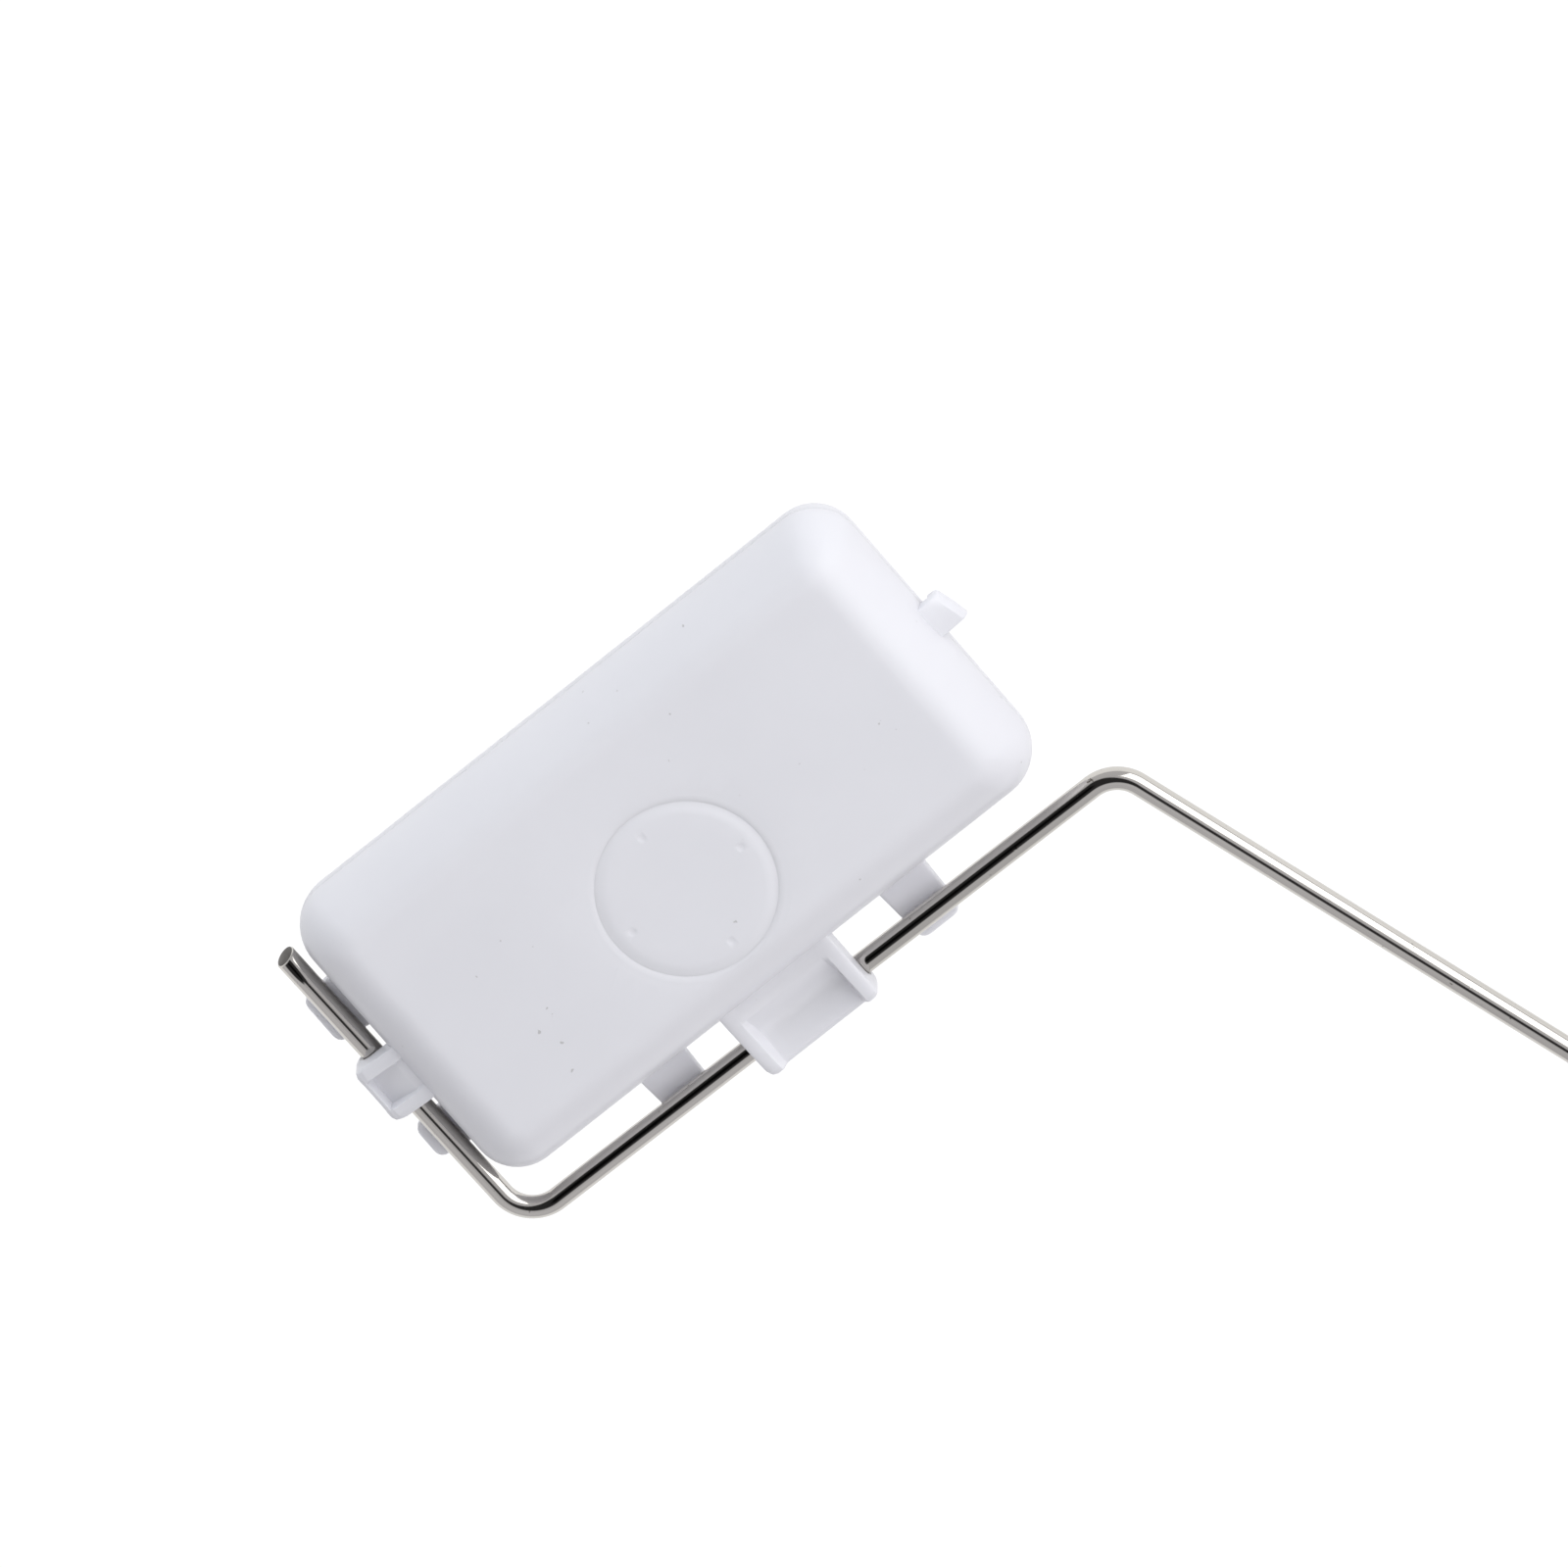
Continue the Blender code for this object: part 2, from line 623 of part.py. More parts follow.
def add_tab(shell, name, side, centre, width, wall, outer):
    """A flat rest under the wire, with its outer corners cut off."""
    low, high, cut_off = centre - width / 2, centre + width / 2, 0.9
    top, bottom, inside = -CRADLE, -CRADLE - TAB_THICKNESS, wall - CLIP_ROOT
    outline = [(inside, low), (outer - cut_off, low), (outer, low + cut_off)]
    outline += [(outer, high - cut_off), (outer - cut_off, high), (inside, high)]
    bm = bmesh.new()
    if side == "long":
        rings = [[(place, out, z) for out, place in outline] for z in (bottom, top)]
    else:
        rings = [[(out, place, z) for out, place in outline] for z in (bottom, top)]
    add_solid(bm, rings)
    join(shell, name, to_row(bm))


def add_end_lug(shell):
    """The ramped stub at the float's near end, on the side without a wire, with its tip cut askew."""
    wall, low = FLOAT_HALF_LENGTH, -0.4

    def section(outer):
        return [(wall - CLIP_ROOT, 1.0), (wall - CLIP_ROOT, 3.4), (wall + 1.0, 3.2), (outer - 0.8, 2.6),
                (outer, 1.8), (outer, low), (wall + 1.2, low), (wall + 1.2, 1.0)]

    join(shell, "end_lug", clip_solid([(-3.3, section(46.6)), (1.5, section(48.0))], "near"))


def make_upper_shell(plastic):
    """The half with the filling hole for the plug, the two hooks and the end lug."""
    upper = make_half_shell("float_upper_shell", 1, plastic)
    face, above = FLOAT_HALF_THICKNESS, FLOAT_HALF_THICKNESS + 2.0
    floor, hole, collar = face - PLUG_THICKNESS - GAP, PLUG_SPIGOT + GAP, PLUG_RADIUS + 1.6
    pocket = [(floor, 0), (floor, PLUG_RADIUS + GAP), (above, PLUG_RADIUS + GAP), (above, 0)]
    seat = [(face - 5.0, 0), (face - 5.0, hole), (face, hole), (face, 0)]
    ledge = [(face - 3.4, 0), (face - 3.4, collar), (face - 1.0, collar), (face - 1.0, 0)]
    centre = (PLUG_U, PLUG_V, 0.0)
    join(upper, "plug_ledge", to_row(turned(ledge, "Z", centre, hollow=False)))
    cut(upper, "plug_pocket", to_row(turned(pocket, "Z", centre, hollow=False)))
    cut(upper, "plug_seat", to_row(turned(seat, "Z", centre, hollow=False)))
    add_hook(upper, "long_hook", "long", 0.5, 17.5, 1.5, FLOAT_HALF_WIDTH, WIRE_V, 32.2)
    add_hook(upper, "far_hook", "far", 2.4, 8.4, 2.0, FLOAT_HALF_LENGTH, WIRE_U, 49.4)
    add_end_lug(upper)


def make_lower_shell(plastic):
    """The half with the four rests under the wire."""
    lower = make_half_shell("float_lower_shell", -1, plastic)
    add_tab(lower, "long_tab_1", "long", -18.8, 7.0, FLOAT_HALF_WIDTH, 31.6)
    add_tab(lower, "long_tab_2", "long", 20.0, 7.0, FLOAT_HALF_WIDTH, 30.0)
    add_tab(lower, "far_tab_1", "far", -8.2, 8.0, FLOAT_HALF_LENGTH, 49.4)
    add_tab(lower, "far_tab_2", "far", 12.6, 6.0, FLOAT_HALF_LENGTH, 49.4)


def make_plug(material):
    """The welded disc that closes the float, stepped to sit in its pocket."""
    top = FLOAT_HALF_THICKNESS + PLUG_PROUD
    under = FLOAT_HALF_THICKNESS - PLUG_THICKNESS
    profile = [
        (under - 2.6, 0),
        (under - 2.6, PLUG_SPIGOT),
        (under, PLUG_SPIGOT),
        (under, PLUG_RADIUS),
        (top - 0.25, PLUG_RADIUS),
        (top, PLUG_RADIUS - 0.25),
        (top, 0),
    ]
    disc = to_row(turned(profile, "Z", (PLUG_U, PLUG_V, 0.0), sides=48, hollow=False))
    return make_object("float_plug", disc, material)


def main():
    clear_scene()
    white = make_material("float_white", (0.80, 0.80, 0.83), 0.38)
    steel = make_material("bright_steel", (0.62, 0.60, 0.57), 0.14, 1.0)
    acetal = make_material("body_plastic", (0.78, 0.78, 0.80), 0.42)
    nylon = make_material("natural_nylon", (0.74, 0.72, 0.66), 0.5)
    rubber = make_material("black_rubber", (0.03, 0.03, 0.03), 0.75)
    brass = make_material("nozzle_brass", (0.72, 0.53, 0.25), 0.3, 1.0)
    make_valve_body(acetal)
    make_wall_clamp(rubber, nylon, acetal)
    make_tube_fitting(acetal, nylon)
    make_strainer(nylon)
    make_nozzle(brass, rubber)
    make_plunger(acetal, rubber)
    make_spout(acetal)
    make_lever(acetal)
    make_wire_clamp(steel, steel)
    make_pin(steel, steel)
    make_float_arm(steel)
    make_upper_shell(white)
    make_lower_shell(white)
    make_plug(white)


main()
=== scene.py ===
"""The looks of a small tank float valve: its finished meshes, materials, light and camera.

Lengths are in millimetres and are turned into metres when a mesh is made. The float's own frame has u
along its length, away from the arm's elbow, v across it towards the wire, and z up from its seam.
"""

import json
import math

import bmesh
import bpy
from mathutils import Matrix, Vector


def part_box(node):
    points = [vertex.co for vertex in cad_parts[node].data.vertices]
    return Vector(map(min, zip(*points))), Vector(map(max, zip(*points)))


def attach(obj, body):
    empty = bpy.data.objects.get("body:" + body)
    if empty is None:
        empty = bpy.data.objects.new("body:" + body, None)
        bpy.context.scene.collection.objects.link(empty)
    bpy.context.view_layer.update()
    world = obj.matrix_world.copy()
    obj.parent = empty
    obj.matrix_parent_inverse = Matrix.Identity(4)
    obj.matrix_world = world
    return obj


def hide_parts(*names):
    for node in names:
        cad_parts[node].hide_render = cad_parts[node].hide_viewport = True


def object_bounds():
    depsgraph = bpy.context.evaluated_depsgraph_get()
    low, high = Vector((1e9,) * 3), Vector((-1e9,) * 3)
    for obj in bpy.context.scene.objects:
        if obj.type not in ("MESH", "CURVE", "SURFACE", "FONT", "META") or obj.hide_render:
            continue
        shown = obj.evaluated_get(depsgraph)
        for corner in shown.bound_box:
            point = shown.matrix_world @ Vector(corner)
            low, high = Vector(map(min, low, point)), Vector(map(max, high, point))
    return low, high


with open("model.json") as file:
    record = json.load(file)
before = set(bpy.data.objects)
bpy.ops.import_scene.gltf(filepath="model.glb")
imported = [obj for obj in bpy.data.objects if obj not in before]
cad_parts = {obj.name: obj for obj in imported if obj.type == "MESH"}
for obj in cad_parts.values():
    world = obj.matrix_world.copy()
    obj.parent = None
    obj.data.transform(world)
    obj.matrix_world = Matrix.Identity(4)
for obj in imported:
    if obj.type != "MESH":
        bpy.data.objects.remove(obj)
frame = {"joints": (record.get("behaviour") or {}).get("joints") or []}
cad_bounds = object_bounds()

MM = 0.001


def box_mm(node):
    low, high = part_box(node)
    return low / MM, high / MM


# ---------- places and sizes read from the frame ----------

arm_low, arm_high = box_mm("float_arm")
plug_low, plug_high = box_mm("float_plug")
WIRE_Z = (arm_low.z + arm_high.z) / 2
WIRE_RADIUS = (arm_high.z - arm_low.z) / 2
WIRE_FROM = arm_low.x
PLUG_RADIUS = (plug_high.x - plug_low.x) / 2
PIVOT = Vector(next(j["pos_m"] for j in frame["joints"] if j["name"] == "arm_swing")) / MM

# ---------- the bent wire and the float, as designed ----------

BEND_RADIUS = 5.0
ELBOW_X = 132.0
LONG_LEG, LONG_LEG_ANGLE = 94.6, 72.0
SHORT_LEG, SHORT_LEG_ANGLE = 46.3, -16.3
FLOAT_ANGLE = 72.6
HALF_LENGTH = 44.0
HALF_WIDTH = 22.6
HALF_THICKNESS = WIRE_Z - box_mm("float_lower_shell")[0].z
CORNER_RADIUS = 6.2
EDGE_ROUNDING = 7.0
FLOAT_WALL = 1.6
PLUG_U, PLUG_V = 0.3, 4.5
WIRE_V = 28.5
WIRE_U = 46.3
CRADLE = WIRE_RADIUS + 0.35
CLIP_ROOT = 1.3
HOOK_BOTTOM = -1.0

FLOAT_TURN = Matrix.Rotation(math.radians(FLOAT_ANGLE), 4, "Z")
plug_centre = (plug_low + plug_high) / 2
FLOAT_CENTRE = plug_centre - FLOAT_TURN @ Vector((PLUG_U, PLUG_V, 0.0))
FLOAT_PLACE = Matrix.Translation((FLOAT_CENTRE.x, FLOAT_CENTRE.y, WIRE_Z)) @ FLOAT_TURN


# ---------- mesh helpers ----------


def bridge(bm, rings, loop=False):
    """Joins successive rings of points with faces, then caps the two ends or joins them."""
    loops = [[bm.verts.new(point) for point in ring] for ring in rings]
    pairs = list(zip(loops, loops[1:]))
    if loop:
        pairs.append((loops[-1], loops[0]))
    for low, high in pairs:
        count = max(len(low), len(high))
        for i in range(count):
            j = (i + 1) % count
            ends = [low[i % len(low)], low[j % len(low)], high[j % len(high)], high[i % len(high)]]
            bm.faces.new(list(dict.fromkeys(ends)))
    if not loop:
        for end in (loops[0], loops[-1]):
            if len(end) > 2:
                bm.faces.new(end)
    return loops


def solid(rings, loop=False):
    bm = bmesh.new()
    bridge(bm, rings, loop)
    return bm


def make_object(name, bm, sharp=35.0):
    """Turns a shape in millimetres into a smooth-shaded object in metres."""
    bmesh.ops.recalc_face_normals(bm, faces=bm.faces)
    bm.transform(Matrix.Diagonal((MM, MM, MM, 1.0)))
    mesh = bpy.data.meshes.new(name)
    bm.to_mesh(mesh)
    bm.free()
    obj = bpy.data.objects.new(name, mesh)
    bpy.context.scene.collection.objects.link(obj)
    shade(obj, sharp)
    return obj


def shade(obj, sharp):
    obj.data.shade_smooth()
    obj.data.set_sharp_from_angle(angle=math.radians(sharp))


def bake(obj):
    """Applies the object's modifiers to its mesh."""
    graph = bpy.context.evaluated_depsgraph_get()
    mesh = bpy.data.meshes.new_from_object(obj.evaluated_get(graph))
    mesh.name = obj.name
    obj.modifiers.clear()
    obj.data = mesh
    return obj


def merge(target, operation, shapes):
    """Joins or cuts several shapes with exact Booleans, then removes them."""
    helpers = [make_object(target.name + "_helper", bm) for bm in shapes]
    for other in helpers:
        modifier = target.modifiers.new(operation, "BOOLEAN")
        modifier.operation = operation
        modifier.object = other
    bake(target)
    for other in helpers:
        bpy.data.objects.remove(other)
    return target


def bevel(obj, width, segments=3, angle=40.0, sharp=35.0):
    """Rounds the object's edges and keeps its flat faces flat."""
    modifier = obj.modifiers.new("rounding", "BEVEL")
    modifier.width = width * MM
    modifier.segments = segments
    modifier.limit_method = "ANGLE"
    modifier.angle_limit = math.radians(angle)
    modifier.harden_normals = False
    bake(obj)
    shade(obj, sharp)
    return obj


def as_shape(obj):
    """Takes a finished object back as a shape in millimetres."""
    shape = bmesh.new()
    shape.from_mesh(obj.data)
    bpy.data.objects.remove(obj)
    shape.transform(Matrix.Diagonal((1 / MM, 1 / MM, 1 / MM, 1.0)))
    return shape


def arc(centre, radius, start, end, steps):
    """Points on a circle between two angles in degrees."""
    angles = [math.radians(start + (end - start) * i / steps) for i in range(steps + 1)]
    return [(centre[0] + radius * math.cos(a), centre[1] + radius * math.sin(a)) for a in angles]


def turn_corner(first, corner, last, steps):
    """Points on the curve that replaces a corner, from one edge to the next."""
    points = []
    for k in range(steps + 1):
        t = k / steps
        points.append(tuple((first * (1 - t) + corner * t) * (1 - t) + (corner * (1 - t) + last * t) * t))
    return points


def fillet(points, radius, steps=4):
    """A closed outline with each corner rounded, by a smaller radius where its edges are short."""
    rounded = []
    corners = [Vector(p) for p in points]
    for i, corner in enumerate(corners):
        back, onward = corners[i - 1] - corner, corners[(i + 1) % len(corners)] - corner
        reach = min(back.length, onward.length) * 0.45
        back.normalize()
        onward.normalize()
        half = back.angle(onward) / 2
        setback = min(radius / max(math.tan(half), 1e-6), reach)
        rounded += turn_corner(corner + back * setback, corner, corner + onward * setback, steps)
    return rounded


def turned(profile, axis="X", centre=(0.0, 0.0, 0.0), sides=96, loop=True, radius_at=None):
    """A solid of revolution from (place along the axis, radius). radius_at may vary it round the axis."""
    first, second, third = {
        "X": (Vector((0, 1, 0)), Vector((0, 0, 1)), Vector((1, 0, 0))),
        "Y": (Vector((0, 0, 1)), Vector((1, 0, 0)), Vector((0, 1, 0))),
        "Z": (Vector((1, 0, 0)), Vector((0, 1, 0)), Vector((0, 0, 1))),
    }[axis]
    rings = []
    for place, radius in profile:
        middle = Vector(centre) + third * place
        if radius == 0:
            rings.append([middle])
            continue
        ring = []
        for i in range(sides):
            a = 2 * math.pi * i / sides
            r = radius_at(place, radius, a) if radius_at else radius
            ring.append(middle + (first * math.cos(a) + second * math.sin(a)) * r)
        rings.append(ring)
    return solid(rings, loop)


def prism(outline, low, high, axis="Y"):
    """Extrudes an outline: (x, z) along Y, (x, y) along Z, or (y, z) along X."""
    def point(a, b, depth):
        return {"Y": (a, depth, b), "Z": (a, b, depth), "X": (depth, a, b)}[axis]

    return solid([[point(a, b, depth) for a, b in outline] for depth in (low, high)])


def block(low, high):
    outline = [(low[0], low[1]), (high[0], low[1]), (high[0], high[1]), (low[0], high[1])]
    return prism(outline, low[2], high[2], axis="Z")


def finish_piece(obj, material, body, slot, *nodes):
    """Gives a finished piece its material, and makes it ride on its body in place of its nodes."""
    obj.data.materials.append(material)
    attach(obj, body)
    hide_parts(*nodes)
    return obj


# ---------- materials ----------


class Nodes:
    """Short calls for building a material's node tree."""

    def __init__(self, name):
        self.material = bpy.data.materials.new(name)
        self.material.use_nodes = True
        self.tree = self.material.node_tree
        self.shader = self.tree.nodes["Principled BSDF"]

    def add(self, kind, **settings):
        node = self.tree.nodes.new(kind)
        for key, value in settings.items():
            setattr(node, key, value)
        return node

    def link(self, source, target):
        self.tree.links.new(source, target)

    def coordinates(self, stretch=(1.0, 1.0, 1.0), output="Object"):
        place, scaling = self.add("ShaderNodeTexCoord"), self.add("ShaderNodeMapping")
        scaling.inputs["Scale"].default_value = stretch
        self.link(place.outputs[output], scaling.inputs["Vector"])
        return scaling.outputs["Vector"]

    def noise(self, vector, scale, detail=3.0, roughness=0.5):
        node = self.add("ShaderNodeTexNoise")
        node.inputs["Scale"].default_value = scale
        node.inputs["Detail"].default_value = detail
        node.inputs["Roughness"].default_value = roughness
        self.link(vector, node.inputs["Vector"])
        return node.outputs["Fac"]

    def spread(self, value, low, high, to_low, to_high):
        """Maps a value from one range to another, held at both ends."""
        node = self.add("ShaderNodeMapRange")
        for name, number in zip(("From Min", "From Max", "To Min", "To Max"), (low, high, to_low, to_high)):
            node.inputs[name].default_value = number
        self.link(value, node.inputs["Value"])
        return node.outputs["Result"]

    def mix(self, factor, first, second):
        """A colour between two others, each of which is a colour or an output."""
        node = self.add("ShaderNodeMix", data_type="RGBA")
        sockets = [s for s in node.inputs if s.type == "RGBA"]
        for socket, value in zip(sockets, (first, second)):
            if isinstance(value, tuple):
                socket.default_value = (*value, 1.0)
            else:
                self.link(value, socket)
        self.link(factor, node.inputs["Factor"])
        return next(s for s in node.outputs if s.type == "RGBA")

    def bump(self, height, strength, distance, before=None):
        node = self.add("ShaderNodeBump")
        node.inputs["Strength"].default_value = strength
        node.inputs["Distance"].default_value = distance * MM
        self.link(height, node.inputs["Height"])
        if before:
            self.link(before, node.inputs["Normal"])
        return node.outputs["Normal"]

    def feed(self, socket, value):
        self.link(value, self.shader.inputs[socket])

    def fix(self, **values):
        for name, value in values.items():
            self.shader.inputs[name.replace("_", " ")].default_value = value


def plastic(name, colour, shade_colour, roughness, specks=0.0, grain=0.012, glow=0.6):
    """Moulded plastic: a faint cloudiness, a fine moulded grain and, if asked for, a few dust specks."""
    n = Nodes(name)
    place = n.coordinates()
    clouds = n.spread(n.noise(place, 38.0, 4.0), 0.35, 0.65, 0.0, 1.0)
    tint = n.mix(clouds, colour, shade_colour)
    if specks:
        dots = n.noise(place, 620.0, 2.0, 0.55)
        tint = n.mix(n.spread(dots, 0.775 - specks, 0.80 - specks, 0.0, 0.55), tint, (0.34, 0.33, 0.32))
    n.feed("Base Color", tint)
    wear = n.noise(place, 240.0, 5.0, 0.6)
    n.feed("Roughness", n.spread(wear, 0.3, 0.7, roughness - 0.05, roughness + 0.06))
    fine = n.bump(n.noise(place, 2600.0, 3.0, 0.6), 0.25, grain)
    n.feed("Normal", n.bump(n.noise(place, 55.0, 2.0), 0.25, 0.10, fine))
    n.fix(Specular_IOR_Level=0.45, Subsurface_Weight=glow, Subsurface_Scale=0.0016)
    n.shader.inputs["Subsurface Radius"].default_value = (1.0, 1.0, 1.0)
    return n.material


def drawn_steel(name):
    """Bright drawn wire: fine lines along it, small pits and a little grime in them."""
    n = Nodes(name)
    lines = n.coordinates((6.0, 900.0, 1.0), "UV")
    streaks = n.noise(lines, 1.0, 6.0, 0.65)
    broad = n.noise(n.coordinates((14.0, 120.0, 1.0), "UV"), 1.0, 3.0)
    tint = n.mix(n.spread(streaks, 0.35, 0.65, 0.0, 1.0), (0.66, 0.635, 0.60), (0.54, 0.52, 0.49))
    tint = n.mix(n.spread(broad, 0.45, 0.75, 0.0, 0.5), tint, (0.47, 0.46, 0.41))
    pits = n.spread(n.noise(n.coordinates(), 900.0, 3.0, 0.6), 0.70, 0.76, 0.0, 1.0)
    n.feed("Base Color", n.mix(pits, tint, (0.16, 0.14, 0.12)))
    n.feed("Roughness", n.spread(streaks, 0.3, 0.7, 0.05, 0.13))
    n.feed("Normal", n.bump(streaks, 0.35, 0.02, n.bump(pits, 0.4, 0.02)))
    n.fix(Metallic=1.0)
    return n.material


def turned_metal(name, bright, dull, roughness):
    """Machined metal with fine turning marks and a little tarnish."""
    n = Nodes(name)
    place = n.coordinates()
    clouds = n.noise(place, 160.0, 4.0, 0.6)
    n.feed("Base Color", n.mix(n.spread(clouds, 0.35, 0.65, 0.0, 1.0), bright, dull))
    n.feed("Roughness", n.spread(clouds, 0.3, 0.7, roughness - 0.05, roughness + 0.08))
    n.feed("Normal", n.bump(n.noise(n.coordinates((5200.0, 300.0, 300.0)), 1.0, 4.0, 0.6), 0.25, 0.02))
    n.fix(Metallic=1.0)
    return n.material


FLOAT_COLOURS = (0.740, 0.739, 0.772), (0.722, 0.721, 0.754)
WHITE = plastic("float_white", *FLOAT_COLOURS, 0.36, specks=0.02, glow=0.2)
# The thin rests of the lower half let more light through.
THIN_WHITE = plastic("float_white_rests", *FLOAT_COLOURS, 0.36, specks=0.02)
STEEL_WIRE = drawn_steel("drawn_stainless")
# The wire's sheared ends: a rougher steel whose far darker colour is painted shade on the end faces.
SHEARED_STEEL_PAINTED_SHADE = turned_metal("sheared_stainless_painted_shade", (0.20, 0.19, 0.18), (0.11, 0.105, 0.10), 0.48)


# ---------- the wire arm ----------


def polar(length, angle):
    return Vector((math.cos(math.radians(angle)), math.sin(math.radians(angle)))) * length


def wire_path():
    """The wire's centre line, with its straights cut short enough for an even mesh."""
    elbow = Vector((ELBOW_X, 0.0))
    knee = elbow + polar(LONG_LEG, LONG_LEG_ANGLE)
    corners = [Vector((WIRE_FROM, 0.0)), elbow, knee, knee + polar(SHORT_LEG, SHORT_LEG_ANGLE)]
    path, steps, spacing = [corners[0]], 28, 4.0
    for before, corner, after in zip(corners, corners[1:], corners[2:]):
        back, onward = (before - corner).normalized(), (after - corner).normalized()
        half = back.angle(onward) / 2
        centre = corner + (back + onward).normalized() * BEND_RADIUS / math.sin(half)
        start = corner + back * BEND_RADIUS / math.tan(half) - centre
        end = corner + onward * BEND_RADIUS / math.tan(half) - centre
        sweep = start.angle_signed(end)
        add_straight(path, centre + start, spacing)
        path += [centre + Matrix.Rotation(-sweep * i / steps, 2) @ start for i in range(1, steps + 1)]
    add_straight(path, corners[-1], spacing)
    return path


def add_straight(path, end, spacing):
    start = path[-1]
    count = max(1, round((end - start).length / spacing))
    path += [start.lerp(end, i / count) for i in range(1, count + 1)]


def make_wire():
    """The wire as a tube whose ends are sheared a little askew and broken at their edges."""
    path, sides, chamfer, askew = wire_path(), 40, 0.16, 0.45
    first, last = path[0], path[-1]
    lead, trail = (path[1] - first).normalized(), (last - path[-2]).normalized()
    stations = [(first, lead, WIRE_RADIUS - chamfer, askew)]
    stations.append((first + lead * chamfer, lead, WIRE_RADIUS, askew))
    for before, point, after in zip(path, path[1:], path[2:]):
        stations.append((point, (after - before).normalized(), WIRE_RADIUS, 0.0))
    stations.append((last - trail * chamfer, trail, WIRE_RADIUS, -askew))
    stations.append((last, trail, WIRE_RADIUS - chamfer, -askew))
    bm = bmesh.new()
    rings, lengths, run = [], [], 0.0
    for i, (point, along, radius, slant) in enumerate(stations):
        if i:
            run += (point - stations[i - 1][0]).length
        lengths.append(run)
        sideways, forward = Vector((-along.y, along.x, 0.0)), Vector((along.x, along.y, 0.0))
        ring = []
        for k in range(sides):
            a = 2 * math.pi * k / sides
            lean = forward * slant * math.sin(a + 0.6)
            offset = (sideways * math.cos(a) + Vector((0, 0, 1)) * math.sin(a)) * radius
            ring.append(Vector((point.x, point.y, WIRE_Z)) + offset + lean)
        rings.append(ring)
    bridge(bm, rings)
    lay_out(bm, lengths, sides)
    for face in bm.faces:
        face.material_index = 1 if len(face.verts) == sides else 0
    return make_object("wire_arm", bm, 50.0)


def lay_out(bm, lengths, sides):
    """Gives the tube's faces a map in metres, along and round the wire."""
    layer = bm.loops.layers.uv.new("along_the_wire")
    girth = 2 * math.pi * WIRE_RADIUS * MM
    bm.verts.index_update()
    for i, face in enumerate(bm.faces):
        if len(face.verts) != 4:
            continue
        step = i % sides
        for loop in face.loops:
            station, spoke = divmod(loop.vert.index, sides)
            turn = 1.0 if step == sides - 1 and spoke == 0 else spoke / sides
            loop[layer].uv = (lengths[station] * MM, turn * girth)


wire = finish_piece(make_wire(), STEEL_WIRE, "arm", "stainless", "float_arm")
# The end caps take the rough steel whose dark colour is painted shade.
wire.data.materials.append(SHEARED_STEEL_PAINTED_SHADE)


# ---------- the float ----------


def placed(bm):
    """Moves a shape from the float's own frame to its place on the arm."""
    bm.transform(FLOAT_PLACE)
    return bm


def outline(half_u, half_v, corner, z, corner_steps=12, long_steps=36, short_steps=18):
    """An evenly divided rounded rectangle, with the same number of points whatever its size."""
    points = []
    for quarter, (su, sv) in enumerate(((1, 1), (-1, 1), (-1, -1), (1, -1))):
        centre = (su * (half_u - corner), sv * (half_v - corner))
        points += arc(centre, corner, 90 * quarter, 90 * quarter + 90, corner_steps)
        following = {0: (-1, 1), 1: (-1, -1), 2: (1, -1), 3: (1, 1)}[quarter]
        ahead = (following[0] * (half_u - corner), following[1] * (half_v - corner))
        angle = math.radians(90 * quarter + 90)
        end = (ahead[0] + corner * math.cos(angle), ahead[1] + corner * math.sin(angle))
        start, steps = points[-1], (long_steps if quarter % 2 == 0 else short_steps)
        points += [(start[0] + (end[0] - start[0]) * i / steps, start[1] + (end[1] - start[1]) * i / steps)
                   for i in range(1, steps)]
    return [(u, v, z) for u, v in points]


def dome(side, shrink, steps, least_corner=0.9):
    """Rings from the seam up a quarter ellipse to the broad face, less a wall."""
    half_u, half_v, corner = HALF_LENGTH - shrink, HALF_WIDTH - shrink, CORNER_RADIUS - shrink
    top, rounding = HALF_THICKNESS - shrink, EDGE_ROUNDING - shrink
    heights = [] if shrink else [(0.16, 0.015), (0.05, 0.06)]
    for i in range(1 if not shrink else 0, steps + 1):
        angle = math.pi / 2 * i / steps
        heights.append((rounding * (1 - math.cos(angle)), max(top * math.sin(angle), 0.015)))
    rings = []
    for inset, z in heights:
        radius = max(corner - inset * 0.72, least_corner)
        rings.append(outline(half_u - inset, half_v - inset, radius, side * z))
    return rings


def crown(side, rise=0.04):
    """Rings over the broad face, which bulges a little."""
    half_u, half_v = HALF_LENGTH - EDGE_ROUNDING, HALF_WIDTH - EDGE_ROUNDING
    rings = []
    for share in (0.97, 0.9, 0.75, 0.6, 0.45, 0.3, 0.15):
        z = HALF_THICKNESS + rise * (1 - share ** 2)
        corner = max((CORNER_RADIUS - EDGE_ROUNDING * 0.72) * share, 0.2)
        rings.append(outline(half_u * share, half_v * share, corner, side * z))
    return rings


def half_shell(name, side):
    inner = dome(side, FLOAT_WALL, 10)
    return make_object(name, placed(solid(inner[::-1] + dome(side, 0.0, 26) + crown(side))), 30.0)


def clip(sections, side):
    """Bridges clip sections set along u on the long side, or along v on a short side."""
    if side == "long":
        rings = [[(place, out, z) for out, z in profile] for place, profile in sections]
    else:
        sign = 1 if side == "far" else -1
        rings = [[(sign * out, place, z) for out, z in profile] for place, profile in sections]
    return solid(rings)


def rounded_clip(name, bm, width):
    """Rounds a clip's edges and returns it as a shape on the arm."""
    return placed(as_shape(bevel(make_object(name, bm, 30.0), width)))


def cradle_arc(wire):
    return arc((wire, 0.0), CRADLE, 0, 90, 10)


def ease(share):
    share = min(max(share, 0.0), 1.0)
    return share * share * (3 - 2 * share)


